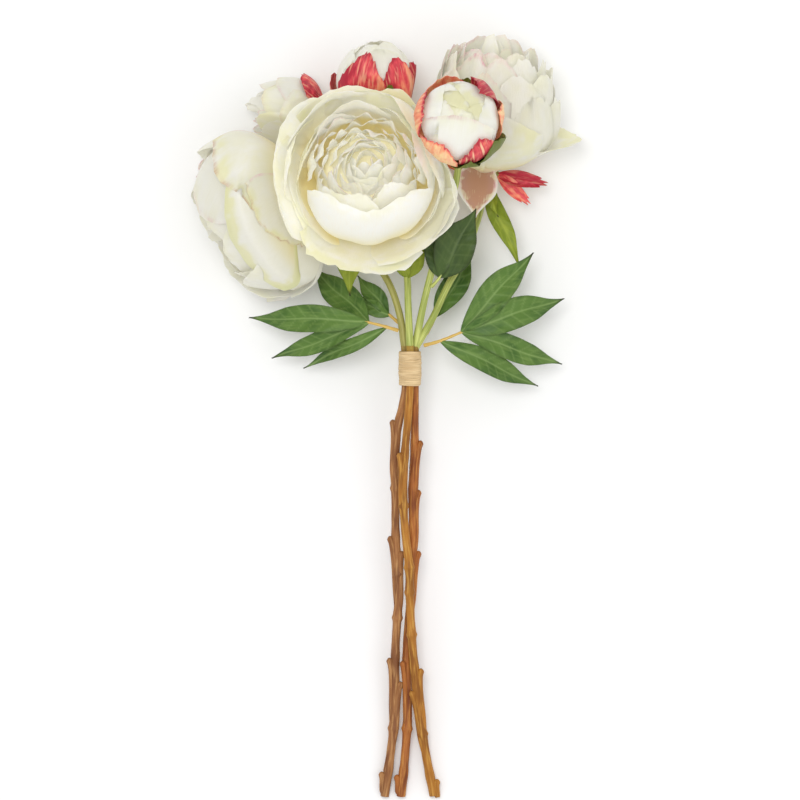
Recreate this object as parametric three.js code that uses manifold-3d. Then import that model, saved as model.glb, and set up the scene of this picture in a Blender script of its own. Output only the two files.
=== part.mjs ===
// A bunch of three peony stems tied with raffia, lying on a surface.
// Millimetres, +Z up from the surface, stems along -Y, flower heads towards +Y.
// The design frame has its X and Y zero at the middle of the tie. At the end the whole bunch
// is moved so that the origin is the centre of its footprint, on the surface.

import * as THREE from "three";
import { mergeVertices } from "three/addons/utils/BufferGeometryUtils.js";
import Module from "manifold-3d";

const wasm = await Module();
wasm.setup();

// Driving sizes
const TIE_HEIGHT = 45;
const TIE_LENGTH = 24;
const TIE_INNER = 6.8;
const TIE_OUTER = 7.6;
const STEM_LENGTH = 288;
const STEM_RADIUS = 3.1;
const BRANCH_RADIUS = 2.3;
const STEM_REST_HEIGHT = STEM_RADIUS - 0.65;
const PETAL_THICKNESS = 0.9;
const LEAF_THICKNESS = 0.8;
const SEAT_GAP = 0.35;
const CALYX_THICKNESS = 1.6;
const BRANCH_ROOT_RADIUS = 2.6;
const KNOB_LENGTH = 2.4;
const KNOB_RADIUS = 2.1;
const RECEPTACLE_THICKNESS = 3;

// How a head is shaped: the part of its half width over which a petal bends before a wall, how
// deep its petals are rooted, and how a petal widens from its root.
const PRESS_SHARE = 0.16;
const FOOT_SHARE = 0.93;
const GUARDED_FOOT_SHARE = 0.85;
const HEART_INSET = 2;
const ROOT_SPREAD = 0.12;
const FULL_SPREAD_REACH = 0.65;
const CLOSED = Math.PI * 0.93;

// How finely the faces are split, and the smallest edge that is kept where solids are joined
const STEM_SIDES = 6;
const BRANCH_SIDES = 5;
const STEM_STEPS = 14;
const HEART_SIDES = 7;
const SMALLEST_EDGE = 0.3;

// Each colour with its roughness
const CREAM = [0xefe9dc, 0.62];
const BLUSH = [0xb8303a, 0.6];
const DARK_LEAF = [0x35582f, 0.55];
const OLIVE_WOOD = [0x9a7238, 0.7];
const RED_WOOD = [0x8f5234, 0.7];
const GREEN_WOOD = [0xa5863f, 0.7];
const RAFFIA = [0xdcb98a, 0.85];

// Small helpers

function makeRandom(seed) {
  let state = seed;
  return (low, high) => {
    state = (state * 16807) % 2147483647;
    return low + (high - low) * (state / 2147483647);
  };
}

const radians = (degrees) => (degrees * Math.PI) / 180;
const mix = (a, b, t) => a + (b - a) * t;
const vector = (list) => new THREE.Vector3(...list);

function toSolid(geometry) {
  const bare = new THREE.BufferGeometry();
  bare.setAttribute("position", geometry.getAttribute("position").clone());
  if (geometry.index) bare.setIndex(geometry.index.clone());
  const merged = mergeVertices(bare, 1e-4);
  const mesh = new wasm.Mesh({
    numProp: 3,
    vertProperties: Float32Array.from(merged.getAttribute("position").array),
    triVerts: Uint32Array.from(merged.index.array),
  });
  return new wasm.Manifold(mesh);
}

// Joins solids to one body: loose scraps are dropped and sealed hollows are filled.
function joined(solids) {
  const pieces = wasm.Manifold.union(solids).simplify(SMALLEST_EDGE).decompose();
  return pieces.reduce((a, b) => (a.volume() > b.volume() ? a : b));
}

function toGeometry(solid) {
  const mesh = solid.getMesh();
  const geometry = new THREE.BufferGeometry();
  geometry.setAttribute("position", new THREE.BufferAttribute(mesh.vertProperties, 3));
  geometry.setIndex(new THREE.BufferAttribute(mesh.triVerts, 1));
  geometry.computeVertexNormals();
  return geometry;
}

const bunch = new THREE.Group();

function addNode(name, solid, [color, roughness]) {
  const material = new THREE.MeshStandardMaterial({ color, roughness, metalness: 0 });
  const mesh = new THREE.Mesh(toGeometry(solid), material);
  mesh.name = name;
  bunch.add(mesh);
}

// Blades: a closed sheet of even thickness round a mid surface given as rows of points.
// Both faces are split into triangles alike.

function bladeNormal(grid, row, col) {
  const rows = grid.length - 1;
  const cols = grid[0].length - 1;
  const along = grid[Math.min(row + 1, rows)][col].clone().sub(grid[Math.max(row - 1, 0)][col]);
  const across = grid[row][Math.min(col + 1, cols)].clone().sub(grid[row][Math.max(col - 1, 0)]);
  return across.cross(along).normalize();
}

function bladeGeometry(grid, thickness) {
  const rows = grid.length;
  const cols = grid[0].length;
  const front = [];
  const back = [];
  grid.forEach((line, row) =>
    line.forEach((point, col) => {
      const offset = bladeNormal(grid, row, col).multiplyScalar(thickness / 2);
      front.push(...point.clone().add(offset).toArray());
      back.push(...point.clone().sub(offset).toArray());
    }),
  );
  const under = rows * cols;
  const at = (row, col) => row * cols + col;
  const index = [];
  for (let row = 0; row < rows - 1; row++) {
    for (let col = 0; col < cols - 1; col++) {
      const [a, b] = [at(row, col), at(row, col + 1)];
      const [c, d] = [at(row + 1, col), at(row + 1, col + 1)];
      index.push(a, b, d, a, d, c);
      index.push(under + a, under + d, under + b, under + a, under + c, under + d);
    }
  }
  const rim = [];
  for (let col = 0; col < cols - 1; col++) rim.push(at(0, col));
  for (let row = 0; row < rows - 1; row++) rim.push(at(row, cols - 1));
  for (let col = cols - 1; col > 0; col--) rim.push(at(rows - 1, col));
  for (let row = rows - 1; row > 0; row--) rim.push(at(row, 0));
  rim.forEach((from, i) => {
    const to = rim[(i + 1) % rim.length];
    index.push(from, under + from, to, to, under + from, under + to);
  });
  const geometry = new THREE.BufferGeometry();
  geometry.setAttribute("position", new THREE.Float32BufferAttribute([...front, ...back], 3));
  geometry.setIndex(index);
  return geometry;
}

// A tube with a changing radius along a smooth curve, closed at both ends.
function tubeGeometry(points, radii, sides, steps) {
  const curve = new THREE.CatmullRomCurve3(points, false, "centripetal");
  const frames = curve.computeFrenetFrames(steps);
  const positions = [];
  const index = [];
  for (let step = 0; step <= steps; step++) {
    const place = (step / steps) * (radii.length - 1);
    const low = Math.min(Math.floor(place), radii.length - 2);
    const radius = mix(radii[low], radii[low + 1], place - low);
    const centre = curve.getPointAt(step / steps);
    for (let side = 0; side < sides; side++) {
      const angle = (2 * Math.PI * side) / sides;
      const point = centre
        .clone()
        .addScaledVector(frames.normals[step], radius * Math.cos(angle))
        .addScaledVector(frames.binormals[step], radius * Math.sin(angle));
      positions.push(...point.toArray());
    }
  }
  for (let step = 0; step < steps; step++) {
    for (let side = 0; side < sides; side++) {
      const next = (side + 1) % sides;
      const [a, b] = [step * sides + side, step * sides + next];
      index.push(a, b, b + sides, a, b + sides, a + sides);
    }
  }
  const last = steps * sides;
  for (let side = 1; side < sides - 1; side++) {
    index.push(0, side + 1, side, last, last + side, last + side + 1);
  }
  const geometry = new THREE.BufferGeometry();
  geometry.setAttribute("position", new THREE.Float32BufferAttribute(positions, 3));
  geometry.setIndex(index);
  return geometry;
}

// Flower heads. Each has a centre, an axis out of its mouth, a side that its turns count from,
// a half width, and how far it reaches behind and in front of its centre. Its walls are flat
// faces, each a direction and a distance from the centre, that petals are pressed against.

function headFrame(head) {
  const axis = vector(head.axis).normalize();
  const side = vector(head.side);
  side.addScaledVector(axis, -side.dot(axis)).normalize();
  const up = axis.clone().cross(side);
  return new THREE.Matrix4().makeBasis(side, up, axis).setPosition(vector(head.centre));
}

function press(point, head, inset) {
  const centre = vector(head.centre);
  for (const [direction, distance] of [...head.walls, ...head.walls]) {
    const normal = vector(direction).normalize();
    const limit = distance - inset;
    const depth = point.clone().sub(centre).dot(normal);
    const band = head.width * PRESS_SHARE;
    const past = depth - (limit - band);
    if (past > 0) {
      const pressed = limit - band * Math.exp(-past / band);
      point.addScaledVector(normal, pressed - depth);
    }
  }
  return point;
}

// The shell that a layer of petals lies on, as [half width, height of its widest ring, depth
// behind that ring, height in front of it].
function shellOf(head, layer, size) {
  if (layer.outside) {
    return [head.width + layer.outside, 0, head.back + layer.root, head.front + layer.outside];
  }
  const back = head.back * (head.guards ? GUARDED_FOOT_SHARE : FOOT_SHARE);
  const ring = -back * (1 - size);
  return [head.width * size, ring, back * size, head.front * layer.top - ring];
}

// One point of a petal, across from -1 to 1 and along from 0 at the root to 1 at the tip.
function petalPoint(head, frame, layer, petal, across, along) {
  const [width, ring, depth, height] = shellOf(head, layer, petal.size);
  const wave = petal.waves * across + petal.phase;
  const edge = 1 - layer.round * across * across + layer.notch * Math.cos(wave);
  const reach = along * edge;
  const polar = radians(mix(layer.start, petal.end, reach));
  const widening = Math.sin(Math.min(reach / FULL_SPREAD_REACH, 1) * Math.PI * 0.5);
  const spread = mix(ROOT_SPREAD, 1, widening);
  const closing = Math.sin(Math.min(Math.max(polar, Math.PI / 2), CLOSED)) ** layer.taper;
  const bend = across * radians(petal.span) * spread * closing;
  const ruffle = layer.ruffle * reach * reach * Math.sin(wave);
  const lift = layer.tuck * across + (layer.flare + petal.flare) * reach ** 4 + ruffle;
  const radius = width * (1 - layer.dive * (1 - reach) ** 4) + lift;
  const outward = radius * Math.sin(polar) * Math.cos(bend);
  const reachAlong = (polar < Math.PI / 2 ? depth : height) + lift;
  const axial = ring - reachAlong * Math.cos(polar) * Math.cos(bend);
  const turn = radians(petal.turn);
  const sideways = radius * Math.sin(bend);
  const point = new THREE.Vector3(
    outward * Math.cos(turn) - sideways * Math.sin(turn),
    outward * Math.sin(turn) + sideways * Math.cos(turn),
    axial,
  );
  return press(point.applyMatrix4(frame), head, layer.inset ?? 0);
}

function petalSolid(head, frame, layer, petal) {
  const grid = [];
  for (let row = 0; row <= layer.rows; row++) {
    const line = [];
    for (let col = 0; col <= layer.cols; col++) {
      const across = (2 * col) / layer.cols - 1;
      line.push(petalPoint(head, frame, layer, petal, across, row / layer.rows));
    }
    grid.push(line);
  }
  return toSolid(bladeGeometry(grid, PETAL_THICKNESS));
}

// The petals of a layer: those given one by one, or a ring of them with seeded differences.
function layerPetals(layer) {
  if (layer.petals) {
    return layer.petals.map(([turn, end, span, flare = 0, size = layer.size]) => ({
      turn,
      end,
      span,
      flare,
      size,
      phase: turn,
      waves: 4,
    }));
  }
  const random = makeRandom(layer.seed);
  return Array.from({ length: layer.count }, (_, i) => ({
    turn: layer.turn + (360 / layer.count) * i + random(-layer.stray, layer.stray),
    end: layer.end + random(-1, 1) * layer.uneven,
    span: layer.span * random(0.85, 1.15),
    flare: 0,
    size: layer.size,
    phase: random(0, 2 * Math.PI),
    waves: random(4, 7),
  }));
}

// The closed heart of a head that the petals stand out of.
function heartSolid(head, frame) {
  const profile = head.heart.map(([radius, height]) => {
    const reach = height < 0 ? head.back : head.front;
    return new THREE.Vector2(radius * head.width, height * reach);
  });
  const lathe = new THREE.LatheGeometry(profile, HEART_SIDES);
  lathe.rotateX(Math.PI / 2);
  lathe.applyMatrix4(frame);
  const position = lathe.getAttribute("position");
  for (let i = 0; i < position.count; i++) {
    const point = new THREE.Vector3().fromBufferAttribute(position, i);
    press(point, head, HEART_INSET);
    position.setXYZ(i, point.x, point.y, point.z);
  }
  return toSolid(lathe);
}

function headSolid(head) {
  const frame = headFrame(head);
  const solids = [heartSolid(head, frame)];
  for (const layer of head.layers) {
    for (const petal of layerPetals(layer)) solids.push(petalSolid(head, frame, layer, petal));
  }
  for (const blade of head.hanging ?? []) solids.push(leafletSolid(blade));
  return joined(solids).subtract(tableSolid());
}

// Everything below the surface, which trims what is pressed down to a small flat spot.
function tableSolid() {
  const slab = new THREE.BoxGeometry(900, 900, 40);
  slab.translate(0, 0, -20);
  return toSolid(slab);
}

// Discs under a head: a calyx that carries coloured guard petals, and the green receptacle.

function discSolid(head, radius, top, thickness) {
  const disc = new THREE.CylinderGeometry(radius, radius * 0.9, thickness, HEART_SIDES);
  disc.rotateX(Math.PI / 2);
  disc.translate(0, 0, -head.back - top - thickness / 2);
  disc.applyMatrix4(headFrame(head));
  return toSolid(disc);
}

const seatRadius = (head) => head.width * 0.17;

function calyxSolid(head) {
  const frame = headFrame(head);
  const disc = discSolid(head, seatRadius(head) + 1.2, SEAT_GAP, CALYX_THICKNESS);
  const blades = layerPetals(head.guards).map((petal) =>
    petalSolid(head, frame, head.guards, petal),
  );
  return joined([disc, ...blades, ...(head.bracts ?? []).map(leafletSolid)]);
}

function receptacleTop(head) {
  return head.guards ? SEAT_GAP * 2 + CALYX_THICKNESS : SEAT_GAP;
}

function receptacleSolids(head) {
  const frame = headFrame(head);
  const disc = discSolid(head, seatRadius(head), receptacleTop(head), RECEPTACLE_THICKNESS);
  const sepals = head.sepals
    ? layerPetals(head.sepals).map((petal) => petalSolid(head, frame, head.sepals, petal))
    : [];
  return [disc, ...sepals];
}

// The middle of the receptacle, where a branch ends.
function neckOf(head) {
  const depth = head.back + receptacleTop(head) + RECEPTACLE_THICKNESS * 0.67;
  return new THREE.Vector3(0, 0, -depth).applyMatrix4(headFrame(head));
}

// How deep below a head's foot its guard petals and its sepals are rooted.
const GUARD_ROOT = SEAT_GAP + CALYX_THICKNESS / 2;
const SEPAL_ROOT = 2 * SEAT_GAP + CALYX_THICKNESS + 1;

// The outline of a heart from its foot to its top, in shares of a head's half width and reach.
const HEART = [
  [0, -1],
  [0.17, -1],
  [0.5, -0.65],
  [0.6, 0],
  [0.46, 0.26],
  [0, 0.4],
];

// Kinds of petal layer. Start is the polar angle of the root, round and notch shape the tip,
// tuck lifts one side over the next petal, flare opens the tip, dive sinks the root and taper
// narrows a petal that closes over the top. A petal is [turn, end, span, flare, size].
const PLAIN = {
  start: 9,
  top: 1,
  round: 0.12,
  notch: 0,
  ruffle: 0,
  tuck: 1.5,
  flare: 0,
  dive: 0,
  taper: 0.7,
  stray: 4,
  uneven: 4,
};
const BIG = { ...PLAIN, rows: 3, cols: 3, ruffle: 1, notch: 0.02 };
const SNUG = { ...BIG, rows: 3, ruffle: 0.2, tuck: 0.4, notch: 0, taper: 0.2 };
const SECOND = { ...PLAIN, rows: 3, cols: 2, start: 48, dive: 0.4, ruffle: 1 };
const THIRD = { ...PLAIN, rows: 3, cols: 2, start: 62, dive: 0.34, ruffle: 1 };
const GUARD = { ...PLAIN, rows: 3, cols: 2, tuck: 0.75, round: 0.3 };
const MIDDLE = { ...PLAIN, rows: 2, cols: 2, start: 94, dive: 0.28, ruffle: 1.2 };
const SMALL = {
  ...PLAIN,
  rows: 2,
  cols: 2,
  start: 106,
  dive: 0.08,
  round: 0.18,
  ruffle: 1,
  tuck: 1.6,
};

// The open head that faces up out of the bunch.
const mainHead = {
  centre: [-29, 126, 88],
  axis: [0, 0.28, 0.96],
  side: [1, 0, 0],
  width: 64,
  back: 48,
  front: 60,
  heart: HEART,
  walls: [
    [[-0.75, -0.15, -0.64], 46],
    [[0.803, 0.351, -0.482], 54],
    [[0.781, 0.448, 0.435], 51],
    [[0.05, 0.75, -0.66], 51],
  ],
  layers: [
    {
      ...BIG,
      size: 0.98,
      petals: [
        [262, 93, 46, 15, 0.78],
        [318, 98, 40, 11, 0.82],
        [8, 104, 40, 2, 0.94],
        [66, 105, 42],
        [130, 104, 42],
        [200, 100, 42, 4, 0.92],
      ],
    },
    {
      ...SECOND,
      size: 0.88,
      petals: [
        [226, 109, 36, 4, 0.76],
        [335, 116, 38, 3, 0.78],
        [40, 121, 38],
        [105, 121, 40],
        [170, 116, 38],
      ],
    },
    {
      ...THIRD,
      size: 0.74,
      petals: [
        [240, 137, 46, 0, 0.68],
        [306, 135, 44, 0, 0.67],
        [5, 128, 38, 0, 0.7],
        [190, 122, 38, 2, 0.72],
      ],
    },
    { ...MIDDLE, seed: 31, size: 0.6, count: 6, turn: 10, end: 127, span: 29, top: 0.95 },
    { ...SMALL, seed: 47, size: 0.45, count: 4, turn: 25, end: 136, span: 38, top: 0.95 },
    { ...SMALL, seed: 59, size: 0.3, count: 3, turn: 5, start: 110, end: 146, span: 48, top: 0.95 },
  ],
};

// The head on the left, seen from its side, with its mouth to the left.
const leftHead = {
  centre: [-98, 102, 45.6],
  axis: [-0.86, -0.48, 0.14],
  side: [0, 0, 1],
  width: 60,
  back: 38,
  front: 44,
  heart: HEART,
  walls: [
    [[0.75, 0.15, 0.64], 32],
    [[0, 0, -1], 50],
    [[0.2, 0.85, -0.48], 50],
  ],
  layers: [
    {
      ...BIG,
      size: 1,
      petals: [
        [46, 104, 38],
        [350, 92, 36],
        [120, 112, 46],
        [205, 120, 46],
        [285, 120, 42],
      ],
    },
    {
      ...SECOND,
      size: 0.92,
      petals: [
        [332, 146, 46],
        [50, 149, 52],
        [150, 138, 50],
        [250, 141, 50],
      ],
    },
    { ...MIDDLE, seed: 83, size: 0.64, count: 4, turn: 12, end: 140, span: 40, top: 0.78 },
    { ...SMALL, seed: 97, size: 0.4, count: 3, turn: 25, end: 144, span: 38, top: 0.76 },
  ],
};

// The head on the right, seen from outside, with its mouth up and away.
const rightHead = {
  centre: [53, 167, 37.3],
  axis: [0.05, 0.93, 0.35],
  side: [0, 0, 1],
  width: 46,
  back: 38,
  front: 62,
  heart: HEART,
  walls: [
    [[-0.803, -0.351, 0.482], 37],
    [[0, 0, -1], 42],
    [[0.15, -0.1, 0.98], 44],
    [[-1, 0.2, 0], 44],
  ],
  layers: [
    {
      ...BIG,
      size: 1,
      inset: 1,
      petals: [
        [15, 112, 46],
        [92, 98, 42, 10],
        [160, 112, 46],
        [235, 114, 46],
        [305, 110, 44],
      ],
    },
    {
      ...SECOND,
      size: 0.92,
      inset: 1.5,
      petals: [
        [24, 131, 42],
        [90, 128, 42],
        [180, 128, 46],
        [262, 132, 42],
        [330, 134, 40],
      ],
    },
    { ...MIDDLE, seed: 113, size: 0.68, count: 4, turn: 12, end: 141, span: 42, top: 0.95 },
  ],
  hanging: [
    { base: [46, 134, 30], tip: [43, 100, 50], width: 27, arch: 3, rows: 4, blunt: true },
  ],
  guards: {
    ...GUARD,
    outside: 5,
    root: GUARD_ROOT,
    start: 9,
    inset: -2,
    flare: 7,
    petals: [[250, 50, 16]],
  },
  bracts: [
    { base: [58.7, 129.6, 24], tip: [90, 123.5, 28], width: 9.5, arch: 1.5, rows: 4, blunt: true },
    { base: [58.9, 129.9, 24.1], tip: [79, 111, 26.5], width: 9, arch: 1.5, rows: 4 },
  ],
};

// The half-open head at the back left, with its mouth to the left.
const backLeftHead = {
  centre: [-80, 170, 22.5],
  axis: [-1, 0.12, 0.05],
  side: [0, 0, 1],
  width: 25,
  back: 22,
  front: 35,
  heart: HEART,
  walls: [
    [[-0.2, -0.85, 0.48], 19.5],
    [[0, 0, -1], 29],
    [[0.55, -0.25, 0.8], 24],
  ],
  layers: [
    {
      ...SNUG,
      size: 1,
      inset: 3.2,
      petals: [
        [350, 108, 52],
        [65, 114, 50],
        [165, 118, 52],
        [275, 122, 52],
      ],
    },
    {
      ...SECOND,
      cols: 2,
      size: 0.86,
      inset: 2.5,
      petals: [
        [20, 130, 46],
        [110, 133, 46],
        [210, 136, 46],
        [300, 134, 46],
      ],
    },
    { ...SMALL, seed: 151, size: 0.5, count: 3, turn: 20, end: 142, span: 40, top: 0.95 },
  ],
  guards: {
    ...GUARD,
    outside: 5,
    root: GUARD_ROOT,
    start: 9,
    inset: 0.3,
    petals: [
      [70, 72, 26],
      [240, 58, 24],
      [330, 62, 24],
    ],
  },
};

// The bud at the top, which points up the bunch.
const topBud = {
  centre: [-23, 191, 42],
  axis: [0.03, 0.95, 0.3],
  side: [0, 0, 1],
  width: 26.5,
  back: 24,
  front: 28,
  heart: HEART,
  walls: [
    [[-0.05, -0.75, 0.66], 24],
    [[1, -0.2, 0], 30],
  ],
  layers: [
    {
      ...SNUG,
      size: 1,
      inset: 5.4,
      petals: [
        [10, 156, 64],
        [100, 141, 58],
        [190, 141, 58],
        [275, 144, 58],
      ],
    },
    {
      ...SECOND,
      cols: 2,
      size: 0.86,
      rows: 2,
      inset: 6,
      taper: 0.3,
      petals: [
        [55, 160, 66],
        [235, 160, 66],
      ],
    },
  ],
  guards: {
    ...GUARD,
    outside: 5.4,
    root: GUARD_ROOT,
    start: 9,
    inset: 0.4,
    petals: [
      [337, 120, 31],
      [36, 112, 26],
      [74, 111, 26],
      [130, 98, 34],
      [255, 98, 34],
    ],
  },
  sepals: {
    ...GUARD,
    outside: 7.6,
    root: SEPAL_ROOT,
    start: 9,
    round: 0.5,
    inset: -0.6,
    petals: [
      [12, 84, 14],
      [290, 74, 13],
      [150, 70, 16],
    ],
  },
};

// The round bud that faces up on the right.
const roundBud = {
  centre: [32, 162, 122],
  axis: [0.05, 0.3, 0.95],
  side: [1, 0, 0],
  width: 26.5,
  back: 26,
  front: 25,
  heart: HEART,
  walls: [[[-0.781, -0.448, -0.435], 27.5]],
  layers: [
    {
      ...SNUG,
      size: 1,
      inset: 6.8,
      petals: [
        [262, 168, 70],
        [350, 150, 56],
        [85, 152, 60],
        [170, 152, 56],
      ],
    },
    {
      ...SECOND,
      cols: 2,
      size: 0.88,
      rows: 2,
      inset: 6,
      taper: 0.3,
      petals: [
        [50, 164, 68],
        [200, 164, 68],
      ],
    },
  ],
  guards: {
    ...GUARD,
    outside: 5.6,
    root: GUARD_ROOT,
    start: 9,
    inset: 0,
    petals: [
      [172, 106, 33],
      [240, 107, 31],
      [300, 112, 30],
      [5, 106, 26],
      [56, 112, 28],
      [118, 106, 28],
    ],
  },
  sepals: {
    ...GUARD,
    outside: 7.6,
    root: SEPAL_ROOT,
    start: 9,
    round: 0.5,
    inset: -0.4,
    petals: [
      [318, 104, 22],
      [80, 80, 20],
      [275, 86, 13],
    ],
  },
};

// Stems. Each path is a list of [x, y, height above the line of the bunch], which slopes from
// the tie down to the stems' cut ends. Knobs are [y, kind, and which way a stub points in x, z].

const SLOPE = (TIE_HEIGHT - STEM_REST_HEIGHT) / STEM_LENGTH;
const bunchLine = (y) => TIE_HEIGHT + SLOPE * Math.min(y, TIE_LENGTH * 0.6);

const stemPoint = ([x, y, rise]) => new THREE.Vector3(x, y, bunchLine(y) + rise);

// A short side stub or scar on a stem, square to it and slightly raised towards the head.
function stubSolid(at, outward, length, radius) {
  const cone = new THREE.CylinderGeometry(radius * 0.6, radius, length, 4);
  cone.translate(0, length / 2, 0);
  const direction = vector([outward[0], 0.55, outward[1]]).normalize();
  const turn = new THREE.Quaternion();
  cone.applyQuaternion(turn.setFromUnitVectors(new THREE.Vector3(0, 1, 0), direction));
  cone.translate(at.x, at.y, at.z);
  return toSolid(cone);
}

// A raised ring all round a stem, where a leaf once grew.
function ringSolid(at, radius) {
  const ring = new THREE.CylinderGeometry(radius, radius * 1.12, 4, STEM_SIDES);
  ring.translate(at.x, at.y, at.z);
  return toSolid(ring);
}

// The point of a stem's path at a given y.
function pathAt(path, y) {
  const after = path.findIndex((point) => point[1] <= y);
  const [a, b] = [path[after - 1], path[after]];
  const t = (y - a[1]) / (b[1] - a[1]);
  return stemPoint(a.map((value, i) => mix(value, b[i], t)));
}

function stemSolids(stem) {
  const points = stem.path.map(stemPoint);
  const radii = [2.65, 2.7, STEM_RADIUS, STEM_RADIUS, STEM_RADIUS, STEM_RADIUS * 0.97];
  const solids = [toSolid(tubeGeometry(points, radii, STEM_SIDES, STEM_STEPS))];
  for (const [y, kind, x, z] of stem.knobs) {
    const at = pathAt(stem.path, y);
    if (kind === "ring") solids.push(ringSolid(at, STEM_RADIUS * 1.22));
    else solids.push(stubSolid(at, [x, z], STEM_RADIUS + KNOB_LENGTH, KNOB_RADIUS));
  }
  for (const [branch, head, steps] of stem.branches) {
    const route = [...branch.map(vector), neckOf(head)];
    const branchRadii = [BRANCH_ROOT_RADIUS, BRANCH_RADIUS, BRANCH_RADIUS, BRANCH_RADIUS];
    solids.push(toSolid(tubeGeometry(route, branchRadii, BRANCH_SIDES, steps)));
  }
  for (const head of stem.heads) solids.push(...receptacleSolids(head));
  for (const blade of stem.blades) solids.push(leafletSolid(blade));
  return solids;
}

// Leaves. A leaflet is an arched blade between two points, folded a little along its rib and
// waved at its edges. Its width grows and narrows to a point.

function leafletSolid(leaf) {
  const base = vector(leaf.base);
  const tip = vector(leaf.tip);
  const run = tip.clone().sub(base);
  const sideways = run.clone().cross(new THREE.Vector3(0, 0, 1)).normalize();
  const up = sideways.clone().cross(run).normalize();
  const rows = leaf.rows ?? 5;
  const grid = [];
  for (let row = 0; row <= rows; row++) {
    const t = row / rows;
    const rib = base.clone().addScaledVector(run, t);
    rib.addScaledVector(up, leaf.arch * Math.sin(Math.PI * t));
    const swell = Math.sin(Math.PI * t ** 0.8) ** (leaf.blunt ? 0.45 : 0.85);
    const half = Math.max(leaf.width * 0.5 * swell, 0.9);
    grid.push(
      [-1, 0, 1].map((across) => {
        const wave = Math.sin(t * 9 + across * 2) * 0.5 * Math.abs(across);
        return rib
          .clone()
          .addScaledVector(sideways, half * across)
          .addScaledVector(up, Math.abs(across) * half * 0.28 + wave);
      }),
    );
  }
  return toSolid(bladeGeometry(grid, LEAF_THICKNESS));
}

function leafSolid(leaf) {
  const stalk = leaf.stalk.map(vector);
  const tube = toSolid(tubeGeometry(stalk, [1.2, 1.1, 0.9], 4, 4));
  return joined([tube, ...leaf.leaflets.map(leafletSolid)]);
}

const leftStem = {
  path: [
    [-3.4, 15, -1.5],
    [-2.9, 0, -1.5],
    [-3.1, -14, -1.5],
    [-5.4, -26, -1.4],
    [-8, -38, -1.2],
    [-9.7, -64.7, -1],
    [-9.7, -91.4, -1],
    [-9.3, -118.1, -1],
    [-8, -141.4, -0.8],
    [-8, -158.1, -0.6],
    [-9.7, -187.4, -0.4],
    [-10.3, -228.1, -0.2],
    [-11.3, -244.1, 0],
    [-17, -288.1, 0],
  ],
  knobs: [
    [-39, "stub", -1, 0.2],
    [-139, "stub", -1, 0.3],
    [-169, "ring"],
    [-197, "stub", -1, 0.2],
    [-244.5, "ring"],
    [-274, "stub", -1, 0.2],
  ],
  branches: [
    [
      [
        [-3.3, 13, 45.4],
        [-6.9, 35.3, 45],
        [-12.7, 53.4, 43],
        [-21, 68, 39],
        [-40, 94, 34],
        [-52, 108, 38],
      ],
      leftHead,
      8,
    ],
    [
      [
        [-20, 66, 39.5],
        [-30, 95, 24],
        [-39, 130, 20],
        [-47, 155, 24],
      ],
      backLeftHead,
      7,
    ],
  ],
  heads: [leftHead, backLeftHead],
  blades: [{ base: [-43, 98, 34], tip: [-40, 50, 42], width: 13, arch: 4, rows: 4 }],
};

const middleStem = {
  path: [
    [3.4, 15, -1.5],
    [2.9, 0, -1.5],
    [3.2, -14, -1.5],
    [3, -51.4, -1.6],
    [1.7, -81.4, -1.6],
    [2, -114.7, -1.6],
    [1.3, -138, -1.6],
    [0, -158, -1.4],
    [-1.7, -181.4, -1],
    [-2, -201.4, -0.8],
    [-1.3, -221.4, -0.4],
    [-2, -244.1, 0],
    [-6, -288.1, 0],
  ],
  knobs: [
    [-51, "stub", 1, 0.2],
    [-125, "stub", 1, 0.1],
    [-199, "stub", 0.2, 1],
    [-244, "ring"],
  ],
  branches: [
    [
      [
        [3.3, 13, 45.4],
        [14.7, 32.7, 41],
        [24.7, 54, 36],
        [36.7, 76, 28],
        [47, 105, 20],
      ],
      rightHead,
      7,
    ],
    [
      [
        [3.5, 14.5, 45.6],
        [9.5, 45, 48],
        [17, 74, 50],
        [27, 108, 52],
        [32, 135, 70],
      ],
      roundBud,
      8,
    ],
  ],
  heads: [rightHead, roundBud],
  blades: [
    { base: [50, 125, 25], tip: [74, 66, 30], width: 12, arch: 5 },
    { base: [50, 124, 27], tip: [59, 101, 36], width: 8, arch: 2, rows: 4 },
  ],
};

const rightStem = {
  path: [
    [0, 15, 3.6],
    [0, 0, 3.55],
    [-0.2, -13, 3.6],
    [-1.7, -38, 5],
    [-3.7, -61.4, 5.4],
    [-4.3, -92, 5.6],
    [-2.7, -114.7, 5.6],
    [-0.7, -132.7, 5.7],
    [0, -154.7, 5.6],
    [1.3, -180.1, 5.4],
    [5.3, -221.4, 3.2],
    [9, -249.5, 1.2],
    [16, -287.5, 0],
  ],
  knobs: [
    [-60, "stub", -1, 0.6],
    [-92, "ring"],
    [-134, "ring"],
    [-205, "stub", 1, 0.3],
    [-249, "ring"],
    [-279, "stub", 1, 0.2],
  ],
  branches: [
    [
      [
        [0, 13, 50.4],
        [-1.3, 41, 49],
        [-3, 67, 41],
        [-14, 92, 31],
        [-25, 106, 30],
      ],
      mainHead,
      8,
    ],
    [
      [
        [-12, 89, 32.5],
        [-15, 112, 22],
        [-20, 138, 22],
        [-23.5, 152, 28],
      ],
      topBud,
      6,
    ],
  ],
  heads: [mainHead, topBud],
  blades: [
    { base: [-1.5, 60, 45], tip: [-14, 88, 49], width: 9, arch: 3, rows: 4 },
    { base: [-1.5, 60, 45], tip: [10, 90, 46], width: 9, arch: 3, rows: 4 },
  ],
};

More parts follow.
